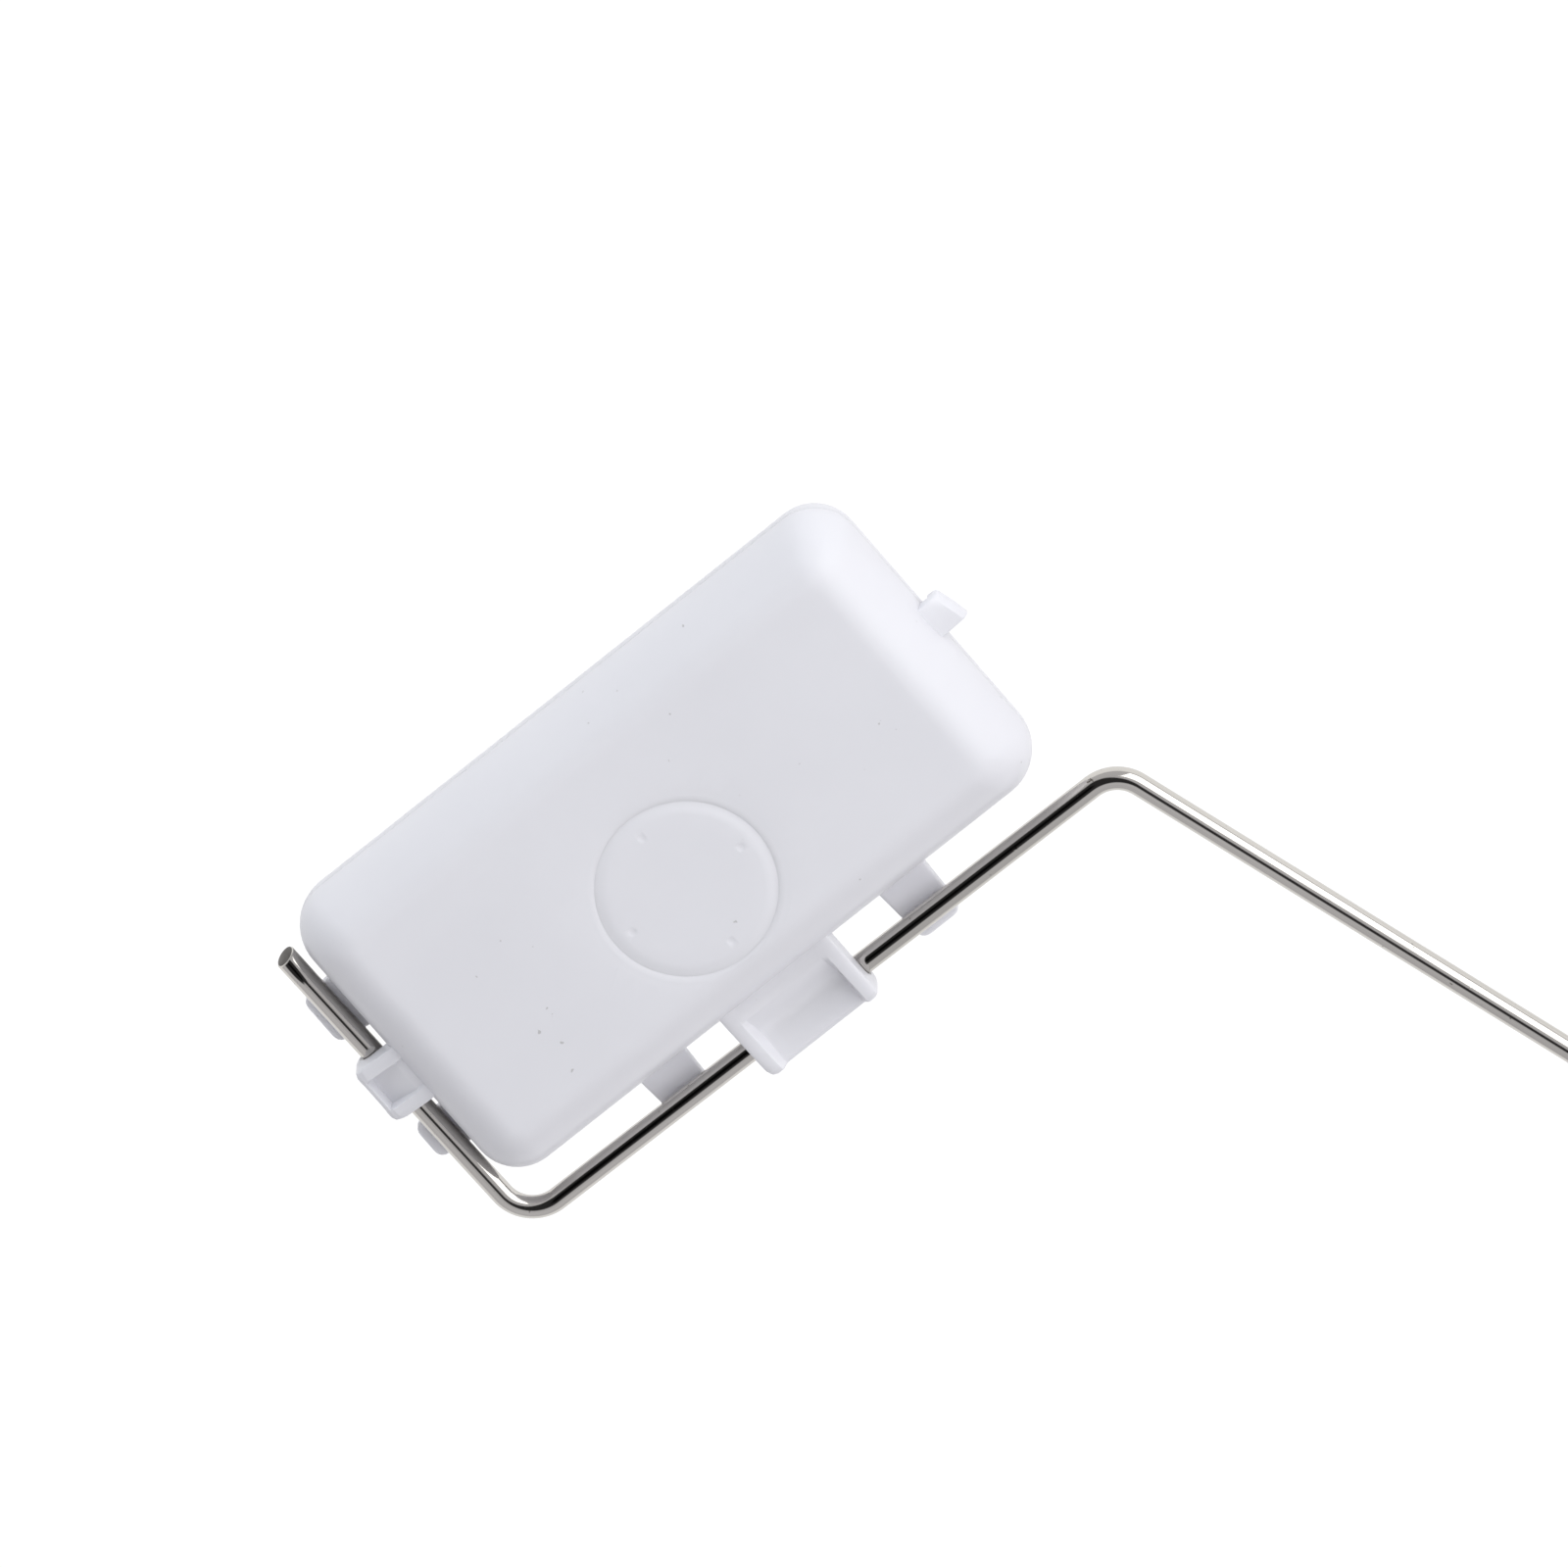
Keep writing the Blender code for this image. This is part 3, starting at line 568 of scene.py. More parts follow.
def hook_profile(wall, wire, outer, fall, brow):
    """A hook's section: from its root over the wire, round its brow, and down its far side.

    fall holds the heights of its root, crest and lip, and whether its top is curved between them.
    """
    root, crest, lip, curved = fall
    inside, steps, trough = wall - CLIP_ROOT, 14, 0.65
    profile = [(inside, CRADLE), (inside, root)]
    for i in range(steps):
        run = i / (steps - 1)
        height = root + (crest - root) * run
        if curved:
            height = root + (crest - root) * ease(run / trough)
            height += (lip - crest) * max(0.0, run - trough) / 0.5
        profile.append((wall + (outer - wall) * (0.02 + 0.78 * run), height))
    profile += arc((outer - brow, lip - brow), brow, 78, 0, 6)
    profile += [(outer, HOOK_BOTTOM + 0.5), (outer - 0.5, HOOK_BOTTOM), (wire + CRADLE, HOOK_BOTTOM)]
    return profile + cradle_arc(wire)


def hook(name, side, centre, width, rib, wall, wire, outer, web, slope):
    """Two ribs with a hollow web between them, reaching over the wire."""
    def rib_profile(set_back, drop):
        return hook_profile(wall, wire, outer - set_back, (5.35 - drop, 4.6 - drop, 4.5 - drop, False), 1.2)

    low, high = centre - width / 2, centre + width / 2
    corner, edge, ribbed = rib_profile(0.9, 0.15), rib_profile(0.25, 0.03), rib_profile(0.0, 0.0)
    hollow = hook_profile(wall, wire, outer - 0.1, web, 0.8)
    sections = [(low, corner), (low + 0.3, edge), (low + 0.9, ribbed), (low + rib, ribbed)]
    sections += [(low + rib + slope, hollow), (high - rib - slope, hollow), (high - rib, ribbed)]
    sections += [(high - 0.9, ribbed), (high - 0.3, edge), (high, corner)]
    return rounded_clip(name, clip(sections, side), 0.2)


def tab(name, side, centre, width, wall, outer):
    """A flat tongue under the wire, narrowing and falling a little towards its rounded end."""
    root, tip, thick = width / 2 + 0.2, width / 2 - 0.35, 1.8
    inside = wall - CLIP_ROOT
    ends = fillet([(inside, -root), (outer, -tip), (outer, tip), (inside, root)], 1.5, 5)
    rings = []
    for drop in (CRADLE + thick, CRADLE):
        ring = []
        for out, across in ends:
            z = -drop + 0.5 * max(0.0, (wall + 3.0 - out) / 3.0)
            point = (centre + across, out, z) if side == "long" else (out, centre + across, z)
            ring.append(point)
        rings.append(ring)
    return rounded_clip(name, solid(rings), 0.3)


def end_lug():
    """The ramped stub on the float's near end, wider at its root and skewed at its tip."""
    wall = HALF_LENGTH

    def section(outer, height):
        return [(wall - CLIP_ROOT, 0.6), (wall - CLIP_ROOT, height + 0.7), (wall + 0.6, height + 0.5),
                (outer - 0.7, height), (outer, height - 0.8), (outer, 0.1), (outer - 0.5, -0.4),
                (wall + 1.0, -0.4), (wall + 1.0, 0.6)]
    sections = [(-3.4, section(46.7, 2.6)), (-1.0, section(47.4, 2.6)), (1.4, section(47.9, 2.2))]
    return rounded_clip("end_lug", clip(sections, "near"), 0.3)


def make_upper_shell():
    """The half with the two hooks, the lug, and the seat and shallow moat of the closing disc."""
    shell = half_shell("float_top", 1)
    long_web, far_web = (5.25, 2.25, 3.1, True), (4.9, 2.5, 4.35, False)
    merge(shell, "UNION", [
        hook("long_hook", "long", 0.5, 17.5, 1.8, HALF_WIDTH, WIRE_V, 32.2, long_web, 0.7),
        hook("far_hook", "far", 2.4, 8.4, 1.8, HALF_LENGTH, WIRE_U, 49.4, far_web, 0.25),
        end_lug(),
    ])
    face, rim = HALF_THICKNESS, PLUG_RADIUS
    moat = [(face - 3.0, 0), (face - 3.0, rim), (face - 0.18, rim), (face - 0.15, rim + 0.12)]
    moat += [(face - 0.05, rim + 0.38), (face - 0.02, rim + 0.9), (face, rim + 1.5)]
    moat += [(face + 0.06, rim + 2.1), (face + 2.0, rim + 2.1), (face + 2.0, 0)]
    merge(shell, "DIFFERENCE", [placed(turned(moat, "Z", (PLUG_U, PLUG_V, 0.0), 160, loop=False))])
    shade(shell, 32.0)
    return shell


def make_lower_shell():
    """The half with the four flat rests under the wire."""
    shell = half_shell("float_bottom", -1)
    merge(shell, "UNION", [
        tab("long_rest_1", "long", -18.8, 7.0, HALF_WIDTH, 31.6),
        tab("long_rest_2", "long", 20.0, 7.0, HALF_WIDTH, 30.0),
        tab("far_rest_1", "far", -8.2, 8.0, HALF_LENGTH, 49.4),
        tab("far_rest_2", "far", 12.6, 6.0, HALF_LENGTH, 49.4),
    ])
    shade(shell, 32.0)
    return shell


def make_plug():
    """The closing disc: rounded down at its rim, with four small dimples in a cross."""
    top, rim = HALF_THICKNESS + 0.12, PLUG_RADIUS
    profile = [(top, 0), (top, 4.0), (top - 0.01, 8.0), (top - 0.02, rim - 1.7), (top - 0.05, rim - 1.3)]
    profile += [(top - 0.12, rim - 0.9), (top - 0.20, rim - 0.55), (top - 0.27, rim - 0.2), (top - 0.30, rim)]
    profile += [(top - 2.5, rim), (top - 2.5, 0)]
    body = placed(turned(profile, "Z", (PLUG_U, PLUG_V, 0.0), 160, loop=False))
    plug = make_object("closing_disc", body, 40.0)
    dents, ball, depth, reach = [], 1.9, 0.10, 8.75
    half_circle = [(ball, 0)] + arc((0.0, 0.0), ball, 0, 180, 36)[1:-1] + [(-ball, 0)]
    for i in range(4):
        angle = math.pi / 2 * i
        u, v = PLUG_U + reach * math.cos(angle), PLUG_V + reach * math.sin(angle)
        dents.append(placed(turned(half_circle, "Z", (u, v, top + ball - depth), 64, loop=False)))
    merge(plug, "DIFFERENCE", dents)
    shade(plug, 32.0)
    return plug


finish_piece(make_upper_shell(), WHITE, "arm", "float_white", "float_upper_shell")
finish_piece(make_lower_shell(), THIN_WHITE, "arm", "float_white", "float_lower_shell")
finish_piece(make_plug(), WHITE, "arm", "float_white", "float_plug")


# ---------- inlet body and wall clamp ----------

THREAD_PITCH, THREAD_DEPTH = 1.337, 0.82
TAIL_RADIUS, TAIL_END, THREAD_TO = 8.3, -27.0, -0.4
FLANGE_RADIUS, FLANGE_FROM, FLANGE_TO = 13.0, 1.8, 4.8
BODY_RADIUS, BODY_END = 8.0, 30.0
NUT_CLEARANCE = 0.3
CHEEK_INNER, CHEEK_OUTER = 5.4, 8.0
OUTLET_X, BOSS_RADIUS, BOSS_BOTTOM = 13.0, 6.2, -13.0
PIN_BORE = 1.58
HALF_SWING = 12.5
SHORT_ARM = 9.5
SCREW_X = 52.0


def thread_drop(place, angle, pitch, depth):
    """How far a rounded vee thread lies below its crest."""
    phase = (place / pitch + angle / (2 * math.pi)) % 1.0
    rise = min(max((abs(2 * phase - 1) - 0.14) / 0.72, 0.0), 1.0)
    return depth * (1 - rise * rise * (3 - 2 * rise))


def tail_thread(place, radius, angle):
    """The tail's own thread, which fades out at both ends."""
    if radius != TAIL_RADIUS or not TAIL_END < place < THREAD_TO:
        return radius
    fade = min(1.0, (place - TAIL_END - 0.3) / THREAD_PITCH, (THREAD_TO - place) / THREAD_PITCH)
    return radius - max(fade, 0.0) * thread_drop(place, angle, THREAD_PITCH, THREAD_DEPTH)


def nut_thread(place, radius, angle):
    """The thread in a nut, which runs in the tail's with a small clearance."""
    return radius - thread_drop(place, angle, THREAD_PITCH, THREAD_DEPTH)


def soften(profile, radius=0.3, steps=3):
    """Rounds the corners of a profile, but not the ends that lie on the axis."""
    if profile[0][1] > 0:
        return fillet(profile, radius, steps)
    points = [Vector(p) for p in profile]
    rounded = [profile[0]]
    for before, corner, after in zip(points, points[1:], points[2:]):
        reach = min(radius, (before - corner).length * 0.45, (after - corner).length * 0.45)
        first = corner + (before - corner).normalized() * reach
        last = corner + (after - corner).normalized() * reach
        rounded += turn_corner(first, corner, last, steps)
    return rounded + [profile[-1]]


def divide(profile, radius, step):
    """Splits the long straights at one radius, so that a thread can be cut along them."""
    points = []
    for (a, r), (b, s) in zip(profile, profile[1:] + profile[:1]):
        points.append((a, r))
        if abs(r - radius) < 1e-4 and abs(s - radius) < 1e-4 and abs(b - a) > step:
            count = math.ceil(abs(b - a) / step)
            points += [(a + (b - a) * i / count, radius) for i in range(1, count)]
    return [(a, radius if abs(r - radius) < 1e-4 else r) for a, r in points]


def lathe(name, profile, axis="X", centre=(0.0, 0.0, 0.0), rounding=0.25, sides=96, sharp=35.0):
    loop = profile[0][1] > 0
    return make_object(name, turned(soften(profile, rounding), axis, centre, sides, loop), sharp)


def bore(low, high, radius, axis="X", centre=(0.0, 0.0, 0.0), sides=64):
    return turned([(low, 0), (low, radius), (high, radius), (high, 0)], axis, centre, sides, loop=False)


def rounded_prism(name, points, low, high, axis="Y", corner=0.5, edge=0.35):
    return as_shape(bevel(make_object(name, prism(fillet(points, corner), low, high, axis)), edge, 3, 50.0))


def make_inlet_body():
    outside = [(TAIL_END, TAIL_RADIUS - 0.9), (TAIL_END + 0.9, TAIL_RADIUS), (FLANGE_FROM, TAIL_RADIUS)]
    outside += [(FLANGE_FROM, FLANGE_RADIUS), (FLANGE_TO, FLANGE_RADIUS), (FLANGE_TO, BODY_RADIUS + 0.5)]
    outside += [(FLANGE_TO + 0.5, BODY_RADIUS), (BODY_END, BODY_RADIUS)]
    inside = [(BODY_END, 5.5), (BODY_END - 0.6, 5.2), (5.0, 5.2), (5.0, 4.0), (-18.0, 4.0), (-18.0, 2.5)]
    inside += [(-19.0, 2.5), (-19.0, 3.3), (TAIL_END + 2.2, 3.3), (TAIL_END, 5.3)]
    profile = divide(soften(outside + inside, 0.35), TAIL_RADIUS, THREAD_PITCH / 12)
    body = make_object("inlet_body", turned(profile, sides=96, radius_at=tail_thread))
    boss = soften([(BOSS_BOTTOM, BOSS_RADIUS), (-6.0, BOSS_RADIUS), (-6.0, 4.6), (BOSS_BOTTOM, 4.6)], 0.4)
    lobe = arc((PIVOT.x, PIVOT.z), 4.2, -130, 40, 16)
    cheek = [(24.0, 5.6), (24.0, -6.0), (28.5, -7.6)] + lobe + [(38.5, 1.5), (34.5, 5.6)]
    cheeks = [rounded_prism("cheek", cheek, low, high, corner=0.9)
              for low, high in ((-CHEEK_OUTER, -CHEEK_INNER), (CHEEK_INNER, CHEEK_OUTER))]
    merge(body, "UNION", [turned(boss, "Z", (OUTLET_X, 0.0, 0.0))] + cheeks)
    opening = block((BODY_END - 0.05, -CHEEK_INNER - 0.01, -20), (46, CHEEK_INNER + 0.01, 20))
    pin = bore(-12, 12, PIN_BORE, "Y", tuple(PIVOT))
    merge(body, "DIFFERENCE", [opening, pin, bore(-9, -2, 3.0, "Z", (OUTLET_X, 0.0, 0.0))])
    shade(body, 35.0)
    return body


def hex_prism(flats, low, high):
    corner = flats / math.sqrt(3)
    points = arc((0.0, 0.0), corner, 90, 390, 5)
    return prism(fillet(points, 1.0, 4), low, high, axis="X")


def make_nut(name, flats, low, high, nose, cavity):
    """A hexagon nut with turned-down corners, broken edges and a threaded cavity."""
    nut = make_object(name, hex_prism(flats, low, high))
    corner, middle = flats / math.sqrt(3), (low + high) / 2
    cone = [(low, 0), (low, corner - nose), (low + nose * 0.7, corner + 0.6), (middle, corner + 4.0)]
    cone += [(high - 0.7, corner + 0.6), (high, corner - 1.7), (high, 0)]
    merge(nut, "INTERSECT", [turned(cone, sides=144, loop=False)])
    bevel(nut, 0.22, 3, 25.0)
    merge(nut, "DIFFERENCE", cavity)
    shade(nut, 35.0)
    return nut


def threaded_cutter(low, high):
    """The space that a nut's thread leaves, with a lead-in at its open end."""
    radius, lead = TAIL_RADIUS + NUT_CLEARANCE, 0.9
    profile = [(low, 0), (low, radius), (high - lead, radius)]
    profile += [(high + 1.0, radius + lead + 0.6), (high + 1.0, 0)]
    return turned(divide(profile, radius, THREAD_PITCH / 12), sides=96, loop=False, radius_at=nut_cut)


def nut_cut(place, radius, angle):
    return nut_thread(place, radius, angle) if abs(radius - TAIL_RADIUS - NUT_CLEARANCE) < 1e-4 else radius


def make_lock_nut():
    lead = turned([(-13.0, 0), (-13.0, 10.2), (-10.4, 7.6), (-10.4, 0)], sides=96, loop=False)
    return make_nut("lock_nut_piece", 24.0, -11.3, -4.8, 1.7, [threaded_cutter(-12.3, -4.8), lead])


def make_cap_nut():
    cavity = [threaded_cutter(-34.6, -22.0), bore(-38, -30, 3.3)]
    return make_nut("cap_nut", 22.0, -37.0, -22.0, 3.4, cavity)


def make_strainer():
    profile = [(-14.0, 0), (-14.0, 2.4), (-13.5, 2.9), (3.0, 2.9), (3.0, 3.7), (4.7, 3.7), (4.7, 2.3)]
    profile += [(-13.4, 2.3), (-13.4, 0)]
    strainer = lathe("strainer_thimble", profile, rounding=0.2, sides=72)
    slots = []
    for i in range(4):
        slot = block((-12.0, -0.5, -5.0), (1.5, 0.5, 5.0))
        slot.transform(Matrix.Rotation(math.pi * i / 4, 4, "X"))
        slots.append(slot)
    merge(strainer, "DIFFERENCE", slots)
    shade(strainer, 35.0)
    return strainer


def o_ring(name, place, middle, section):
    return make_object(name, turned([(place + a, middle + b) for a, b in arc((0, 0), section, 0, 337.5, 15)]))


# ---------- plunger, spout and lever ----------


def make_plunger():
    """The piston: a recess for its rubber disc, a seal groove, and a slot for the lever's nose."""
    front, end, radius, floor, groove = 17.012, 42.5, 5.0, 3.6, (24.1, 25.9)
    profile = [(front + 1.7, 0), (front + 1.7, 3.9), (front, 3.9), (front, radius - 0.3)]
    profile += [(front + 0.3, radius), (groove[0], radius), (groove[0], floor), (groove[1], floor)]
    profile += [(groove[1], radius), (end - 0.6, radius), (end, radius - 0.6), (end, 0)]
    plunger = lathe("piston", profile, rounding=0.2)
    nose_x = PIVOT.x + SHORT_ARM * math.sin(math.radians(HALF_SWING))
    left, right = nose_x - 2.15, nose_x + 2.15
    corners = [(left, -6), (right, -6), (right, 2.4), (left, 2.4)]
    slot = rounded_prism("slot", corners, -3.4, 3.4, corner=0.6, edge=0.3)
    merge(plunger, "DIFFERENCE", [block((34.8, -8, -8), (end + 2, 8, -3.2)), slot])
    shade(plunger, 35.0)
    return plunger


def make_spout():
    """A straight spout with three hose barbs below its collar."""
    collar, bottom, wide, narrow = -13.3, -34.0, 4.3, 3.85
    profile = [(collar + 3.2, 3.1), (collar + 3.2, wide - 0.4), (collar + 2.8, wide), (collar, wide)]
    profile += [(collar, BOSS_RADIUS), (collar - 1.8, BOSS_RADIUS), (collar - 1.8, narrow)]
    for i in range(3):
        top = bottom + 11.0 - 3.6 * i
        profile += [(top, narrow), (top - 0.25, wide), (top - 3.2, narrow)]
    profile += [(bottom, narrow - 0.25), (bottom, 3.1)]
    return lathe("spout", profile, "Z", (OUTLET_X, 0.0, 0.0), 0.3)


def leaning(across, along):
    """A point of the lever's short arm, which stands half the swing off upright at rest."""
    s, c = math.sin(math.radians(HALF_SWING)), math.cos(math.radians(HALF_SWING))
    return PIVOT.x + along * s + across * c, PIVOT.z + along * c - across * s


def make_lever():
    """Nose, stop heel and hub in one with the square socket that holds the wire."""
    nose_radius, neck = 2.0, 1.3
    flare = math.degrees(math.acos(neck / nose_radius))
    bar_top, stop = PIVOT.z + 2.6, -BODY_RADIUS - 0.3
    points = [(45, PIVOT.z - 2.6), (45, bar_top), (PIVOT.x + 3.4, bar_top), leaning(neck, SHORT_ARM - 3.6)]
    points += arc(leaning(0.0, SHORT_ARM), nose_radius, -flare - HALF_SWING, 180 - HALF_SWING + flare, 20)
    points += [leaning(-neck, SHORT_ARM - 3.6), (PIVOT.x - 2.6, stop), (27.2, stop), (26.6, -9.0)]
    points += [(26.6, -10.4), (27.4, -10.9), (PIVOT.x - 2.4, PIVOT.z - 2.1)]
    points += arc((PIVOT.x, PIVOT.z), 2.8, -130, -60, 6)
    lever = make_object("lever_arm", prism(fillet(points, 0.4, 3), -3.0, 3.0))
    bevel(lever, 0.3, 3, 50.0)
    hub = [(-5.1, 0), (-5.1, 3.2), (5.1, 3.2), (5.1, 0)]
    corners = [(-4.5, -13.5), (4.5, -13.5), (4.5, -3.5), (-4.5, -3.5)]
    socket = rounded_prism("socket", corners, 44.0, 58.0, "X", corner=1.5, edge=0.45)
    merge(lever, "UNION", [turned(soften(hub, 0.3), "Y", tuple(PIVOT), 96, loop=False), socket])
    mouth = turned([(46.4, 0), (46.4, 1.8), (57.6, 1.8), (58.6, 2.8), (60.0, 2.8), (60.0, 0)], "X",
                   (0.0, 0.0, PIVOT.z), 64, loop=False)
    pocket = block((49.0, -3.0, -6.95), (55.0, 6.0, -4.65))
    merge(lever, "DIFFERENCE", [bore(-12, 12, PIN_BORE, "Y", tuple(PIVOT)), mouth,
                                bore(PIVOT.z, 0, 1.75, "Z", (SCREW_X, 0.0, 0.0)), pocket])
    shade(lever, 35.0)
    return lever


def make_clamp_screw():
    """A pan-head screw with a cross slot and a fine thread."""
    head, tip, radius, pitch = -3.2, PIVOT.z + 1.8, 1.45, 0.5
    profile = [(tip, 0), (tip, radius - 0.4), (tip + 0.4, radius), (head, radius), (head, 2.8)]
    profile += [(head + 0.9, 2.8), (head + 1.6, 2.3), (head + 2.0, 1.2), (head + 2.1, 0)]

    def cut(place, r, angle):
        inside = abs(r - radius) < 1e-4 and tip + 0.4 < place < head - 0.3
        return r - thread_drop(place, angle, pitch, 0.24) if inside else r

    dense = divide(soften(profile, 0.12), radius, pitch / 8)[:-1] + [profile[-1]]
    screw = make_object("pan_head_screw", turned(dense, "Z", (SCREW_X, 0.0, 0.0), 64, False, cut))
    blades = []
    for i in range(2):
        blade = block((-1.7, -0.3, head + 0.9), (1.7, 0.3, head + 3.0))
        blade.transform(Matrix.Translation((SCREW_X, 0, 0)) @ Matrix.Rotation(math.pi * i / 2 + 0.5, 4, "Z"))
        blades.append(blade)
    merge(screw, "DIFFERENCE", blades)
    shade(screw, 35.0)
    return screw


def make_square_nut():
    corners = [(SCREW_X + a, b) for a, b in ((-2.7, -2.7), (2.7, -2.7), (2.7, 2.7), (-2.7, 2.7))]
    nut = make_object("square_nut", prism(fillet(corners, 0.4), -6.65, -4.95, axis="Z"))
    bevel(nut, 0.2, 2, 50.0)
    merge(nut, "DIFFERENCE", [bore(-8, -3, 1.7, "Z", (SCREW_X, 0.0, 0.0))])
    shade(nut, 35.0)
    return nut


def make_pin():
    profile = [(-9.6, 0), (-9.6, 2.0), (-9.2, 2.7), (-8.3, 2.7), (-8.3, 1.5), (8.5, 1.5)]
    profile += [(8.5, 1.05), (9.7, 1.05), (9.7, 1.5), (10.3, 1.5), (10.7, 1.1), (10.7, 0)]
    return lathe("hinge_pin", profile, "Y", tuple(PIVOT), 0.15, 64)


def make_retaining_clip():
    """A sprung open ring whose three teeth sit in the pin's groove."""
    middle = (PIVOT.x, PIVOT.z)
    outline = arc(middle, 3.0, -50, 230, 48)
    for tooth_from, tooth_to, relief_to in ((230, 205, 115), (115, 65, -25), (-25, -50, -50)):
        outline += arc(middle, 1.35, tooth_from, tooth_to, 5)
        if relief_to < tooth_to:
            outline += arc(middle, 2.05, tooth_to - 4, relief_to + 4, 14)
    return bevel(make_object("retaining_clip", prism(outline, 8.8, 9.4)), 0.12, 2, 50.0)


def washer(low, high, inner, outer):
    return [(low, inner), (low, outer), (high, outer), (high, inner)]


ACETAL = plastic("white_acetal", (0.70, 0.705, 0.73), (0.675, 0.68, 0.705), 0.34)
NYLON = plastic("natural_nylon", (0.62, 0.60, 0.53), (0.58, 0.56, 0.49), 0.42)
RUBBER = plastic("black_rubber", (0.020, 0.020, 0.021), (0.032, 0.032, 0.033), 0.60, grain=0.03, glow=0.0)
STEEL = turned_metal("turned_stainless", (0.64, 0.63, 0.61), (0.55, 0.54, 0.52), 0.22)
BRASS = turned_metal("turned_brass", (0.72, 0.50, 0.22), (0.60, 0.40, 0.17), 0.24)

finish_piece(make_inlet_body(), ACETAL, "body", "body_plastic", "valve_body")
finish_piece(lathe("gasket_ring", washer(0.0, 1.5, 8.6, 12.5)), RUBBER, "body", "rubber", "wall_gasket")
finish_piece(lathe("clamp_washer", washer(-4.5, -3.3, 8.6, 13.0)), NYLON, "body", "nylon", "backing_washer")
finish_piece(make_lock_nut(), ACETAL, "body", "body_plastic", "lock_nut")
finish_piece(make_cap_nut(), ACETAL, "body", "body_plastic", "tube_nut")
ferrule = [(-34.3, 3.3), (-34.3, 3.9), (-32.3, 5.2), (-29.3, 5.2), (-27.3, 3.9), (-27.3, 3.3)]
finish_piece(lathe("cone_ferrule", ferrule, rounding=0.2), NYLON, "body", "nylon", "tube_ferrule")
finish_piece(make_strainer(), NYLON, "body", "nylon", "inlet_strainer")
nozzle = [(5.3, 3.0), (5.3, 4.9), (6.6, 4.9), (6.6, 3.6), (8.3, 3.6), (8.3, 4.9), (9.2, 4.9)]
nozzle += [(11.5, 2.5), (12.0, 2.2), (12.0, 1.5), (7.9, 1.5)]
finish_piece(lathe("brass_nozzle", nozzle, rounding=0.15), BRASS, "body", "brass", "seat_nozzle")
finish_piece(o_ring("nozzle_seal", 7.45, 4.45, 0.55), RUBBER, "body", "rubber", "nozzle_o_ring")
finish_piece(make_spout(), ACETAL, "body", "body_plastic", "outlet_spout")
finish_piece(make_pin(), STEEL, "body", "stainless", "pivot_pin")
finish_piece(make_retaining_clip(), STEEL, "body", "stainless", "pivot_clip")
finish_piece(make_plunger(), ACETAL, "plunger", "body_plastic", "plunger")
disc = [(16.212, 0), (16.212, 3.4), (16.412, 3.6), (18.412, 3.6), (18.412, 0)]
finish_piece(lathe("rubber_disc", disc, rounding=0.15), RUBBER, "plunger", "rubber", "seat_washer")
finish_piece(o_ring("piston_seal", 25.0, 4.5, 0.6), RUBBER, "plunger", "rubber", "plunger_o_ring")
finish_piece(make_lever(), ACETAL, "arm", "body_plastic", "lever")
finish_piece(make_clamp_screw(), STEEL, "arm", "stainless", "arm_screw")
finish_piece(make_square_nut(), STEEL, "arm", "stainless", "arm_clamp_nut")


# ---------- floor, light and camera ----------


def make_floor():
    """A wide pale sheet below the object, bright enough to carry almost no shadow."""
    size, drop = 12.0, 0.15
    level = cad_bounds[0].z - drop
    bm = bmesh.new()
    corners = [(-size, -size), (size, -size), (size, size), (-size, size)]
    bm.faces.new([bm.verts.new((x, y, level)) for x, y in corners])
    mesh = bpy.data.meshes.new("floor")
    bm.to_mesh(mesh)
    bm.free()
    floor = bpy.data.objects.new("floor", mesh)
    bpy.context.scene.collection.objects.link(floor)
    n = Nodes("floor")
    n.fix(Roughness=0.9, Specular_IOR_Level=0.1, Emission_Strength=0.78)
    n.shader.inputs["Base Color"].default_value = (0.30, 0.30, 0.30, 1.0)
    n.shader.inputs["Emission Color"].default_value = (1.0, 1.0, 1.0, 1.0)
    mesh.materials.append(n.material)
    floor.visible_diffuse = False


ROOM, BELOW = 0.62, 0.95
CAMERA_AZIMUTH, CAMERA_ELEVATION = math.radians(-57.090), math.radians(72.0)
CAMERA_RIGHT = Vector((math.sin(CAMERA_AZIMUTH), -math.cos(CAMERA_AZIMUTH), 0.0))
level = math.cos(CAMERA_ELEVATION)
CAMERA_BACK = Vector((level * math.cos(CAMERA_AZIMUTH), level * math.sin(CAMERA_AZIMUTH), 0.0))
CAMERA_BACK.z = math.sin(CAMERA_ELEVATION)
CAMERA_UP = CAMERA_BACK.cross(CAMERA_RIGHT)


def make_camera():
    """A long lens high above the float's face, upside down, with the float left of and below its middle."""
    distance, view_width, sensor, aside, above = 3.0, 0.1958, 36.0, 0.01479, 0.00649
    float_centre = Vector((FLOAT_CENTRE.x, FLOAT_CENTRE.y, WIRE_Z)) * MM
    target = float_centre + CAMERA_RIGHT * aside + CAMERA_UP * above
    camera = bpy.data.cameras.new("camera")
    camera.sensor_width = sensor
    camera.lens = sensor * distance / view_width
    camera.clip_start, camera.clip_end = 0.1, 60.0
    obj = bpy.data.objects.new("camera", camera)
    basis = Matrix((CAMERA_RIGHT, CAMERA_UP, CAMERA_BACK)).transposed().to_4x4()
    obj.matrix_world = Matrix.Translation(target + CAMERA_BACK * distance) @ basis
    bpy.context.scene.collection.objects.link(obj)
    bpy.context.scene.camera = obj
    return target


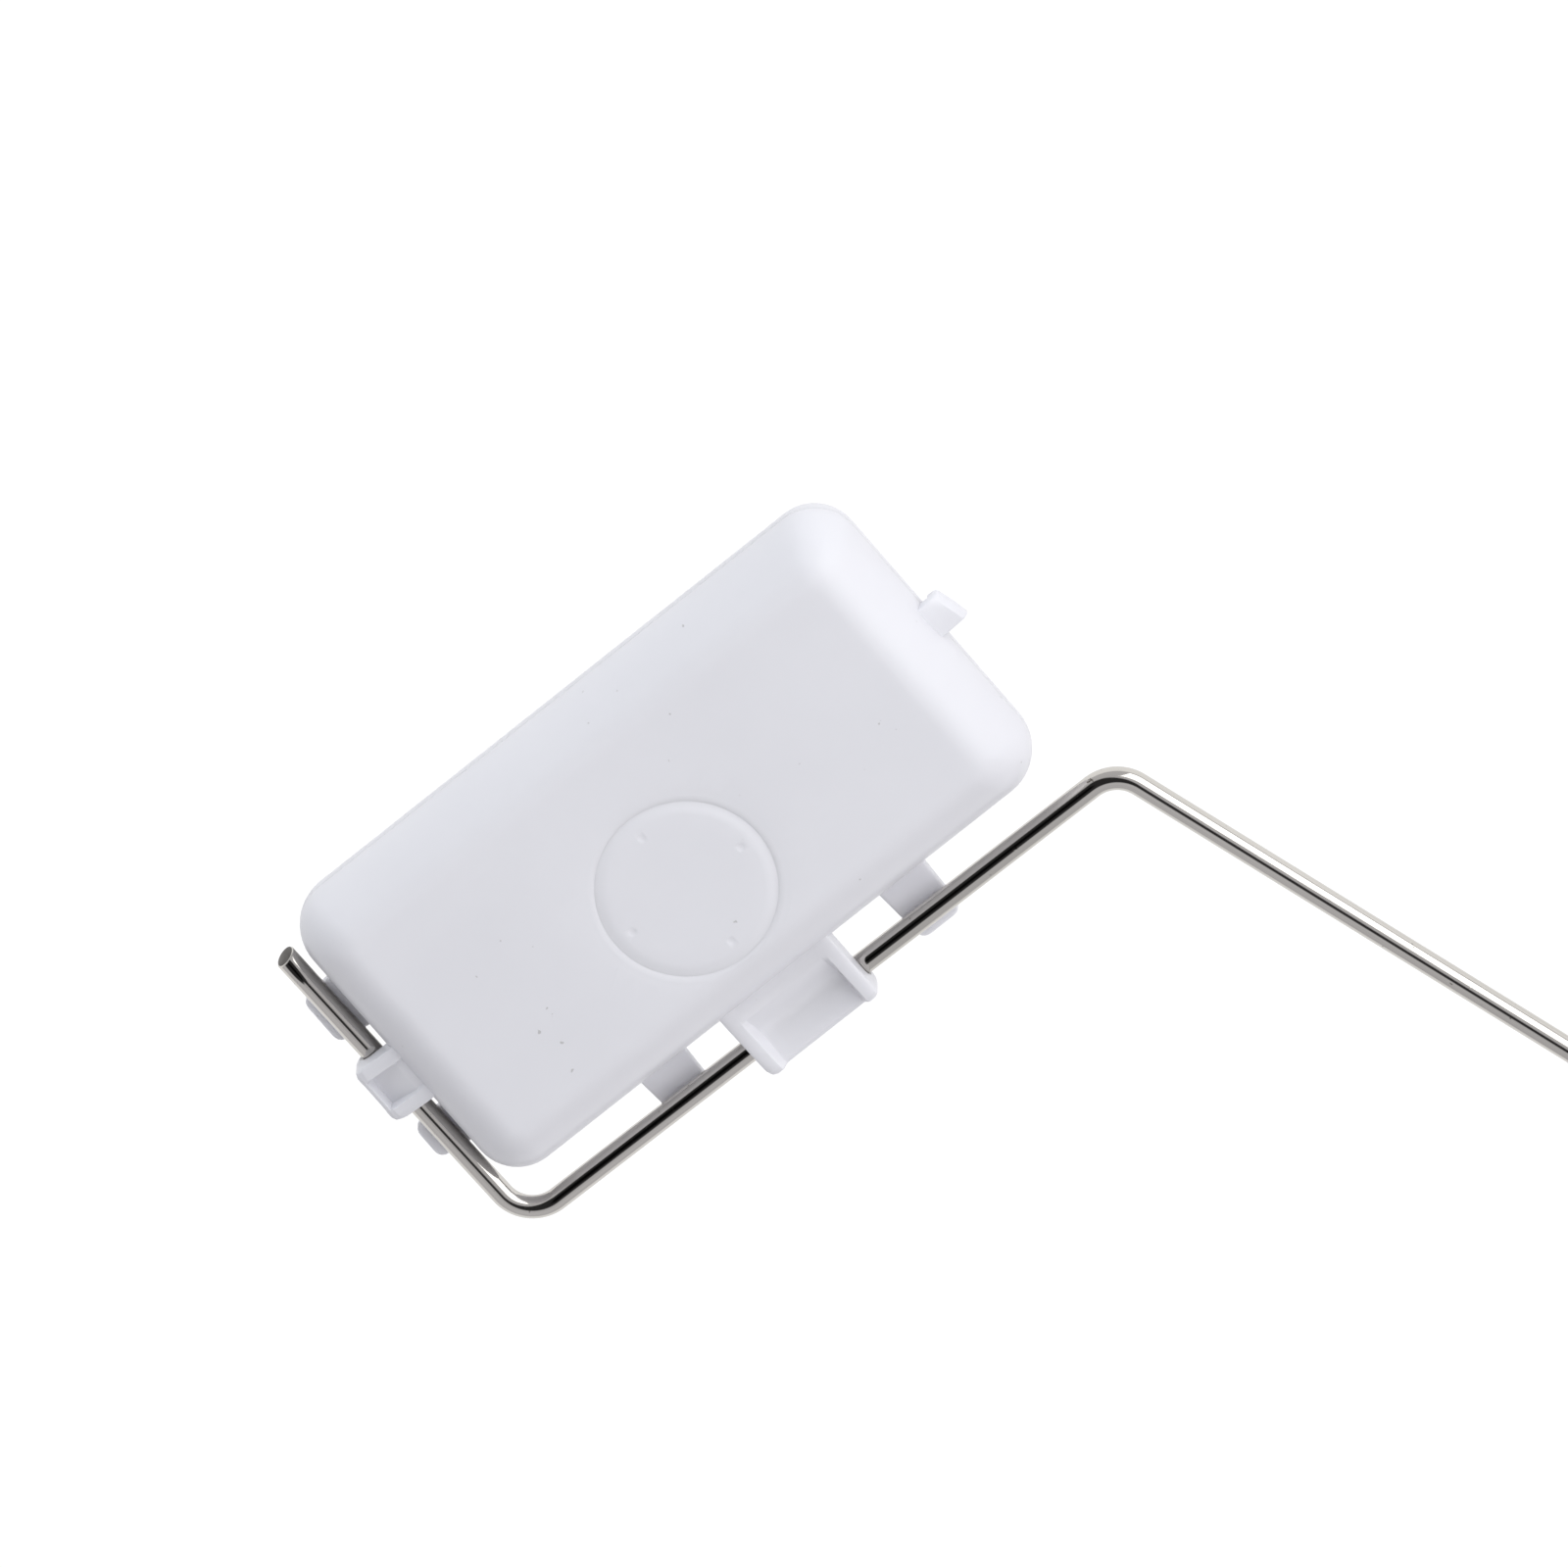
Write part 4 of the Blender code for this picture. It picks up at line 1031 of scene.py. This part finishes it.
def area_light(name, target, direction, side, power, colour, in_reflections):
    """A square light, towards a direction given as right, up and back from the camera."""
    distance = 1.2
    light = bpy.data.lights.new(name, "AREA")
    light.shape = "RECTANGLE"
    light.size, light.size_y = side, side
    light.energy = power
    light.color = colour
    obj = bpy.data.objects.new(name, light)
    right, up, back = direction
    away = (CAMERA_UP * up + CAMERA_RIGHT * right + CAMERA_BACK * back).normalized()
    obj.location = target + away * distance
    obj.rotation_mode = "QUATERNION"
    obj.rotation_quaternion = away.to_track_quat("Z", "Y")
    obj.visible_camera = False
    obj.visible_glossy = in_reflections
    bpy.context.scene.collection.objects.link(obj)


def opening(tree, place, shift, long_reach, short_reach):
    """A factor for the room's light: nearly none in a soft-edged ellipse, set off across the wire."""
    across = tree.nodes.new("ShaderNodeCombineXYZ")
    long_way = CAMERA_UP * 0.79 - CAMERA_RIGHT * 0.61
    short_way = CAMERA_UP * 0.61 + CAMERA_RIGHT * 0.79
    ways = (("X", long_way, 0.0, long_reach), ("Y", short_way, shift, short_reach))
    for socket, direction, offset, reach in ways:
        towards = tree.nodes.new("ShaderNodeVectorMath")
        towards.operation = "DOT_PRODUCT"
        towards.inputs[1].default_value = direction / reach
        tree.links.new(place.outputs["Generated"], towards.inputs[0])
        moved = tree.nodes.new("ShaderNodeMath")
        moved.inputs[1].default_value = offset / reach
        tree.links.new(towards.outputs["Value"], moved.inputs[0])
        tree.links.new(moved.outputs["Value"], across.inputs[socket])
    length = tree.nodes.new("ShaderNodeVectorMath")
    length.operation = "LENGTH"
    tree.links.new(across.outputs["Vector"], length.inputs[0])
    ramp = tree.nodes.new("ShaderNodeMapRange")
    ramp.interpolation_type = "SMOOTHSTEP"
    for name, number in (("From Min", 0.85), ("From Max", 1.1), ("To Min", 0.05), ("To Max", 1.0)):
        ramp.inputs[name].default_value = number
    tree.links.new(length.outputs["Value"], ramp.inputs["Value"])
    return ramp.outputs["Result"]


def make_world():
    """A pale room with dark openings overhead, which the bright wire reflects as dark lines."""
    world = bpy.data.worlds.new("studio")
    world.use_nodes = True
    tree = world.node_tree
    background = tree.nodes["Background"]
    place = tree.nodes.new("ShaderNodeTexCoord")
    height = tree.nodes.new("ShaderNodeSeparateXYZ")
    below = tree.nodes.new("ShaderNodeMapRange")
    for name, number in (("From Min", -0.1), ("From Max", 0.0), ("To Min", BELOW), ("To Max", ROOM)):
        below.inputs[name].default_value = number
    tree.links.new(place.outputs["Generated"], height.inputs["Vector"])
    tree.links.new(height.outputs["Z"], below.inputs["Value"])
    strength = below.outputs["Result"]
    for shift, long_reach, short_reach in ((0.27, 0.58, 0.34), (0.62, 0.42, 0.30)):
        product = tree.nodes.new("ShaderNodeMath")
        product.operation = "MULTIPLY"
        tree.links.new(strength, product.inputs[0])
        tree.links.new(opening(tree, place, shift, long_reach, short_reach), product.inputs[1])
        strength = product.outputs["Value"]
    tree.links.new(strength, background.inputs["Strength"])
    background.inputs["Color"].default_value = (1.0, 0.995, 1.03, 1.0)
    bpy.context.scene.world = world


make_floor()
make_world()
target = make_camera()
PLAIN, COOL = (1.0, 1.0, 1.0), (0.94, 1.0, 1.03)
area_light("softbox", target, (0.60, 0.42, 0.68), 1.1, 7.0, PLAIN, True)
area_light("fill", target, (0.0, -0.15, 1.0), 0.7, 2.2, PLAIN, False)
area_light("left_fill", target, (-0.5, 0.6, 0.6), 0.7, 4.3, COOL, False)
area_light("low_fill", target, (0.55, -0.6, 0.58), 0.7, 2.2, PLAIN, False)
bpy.context.scene.view_settings.view_transform = "Standard"
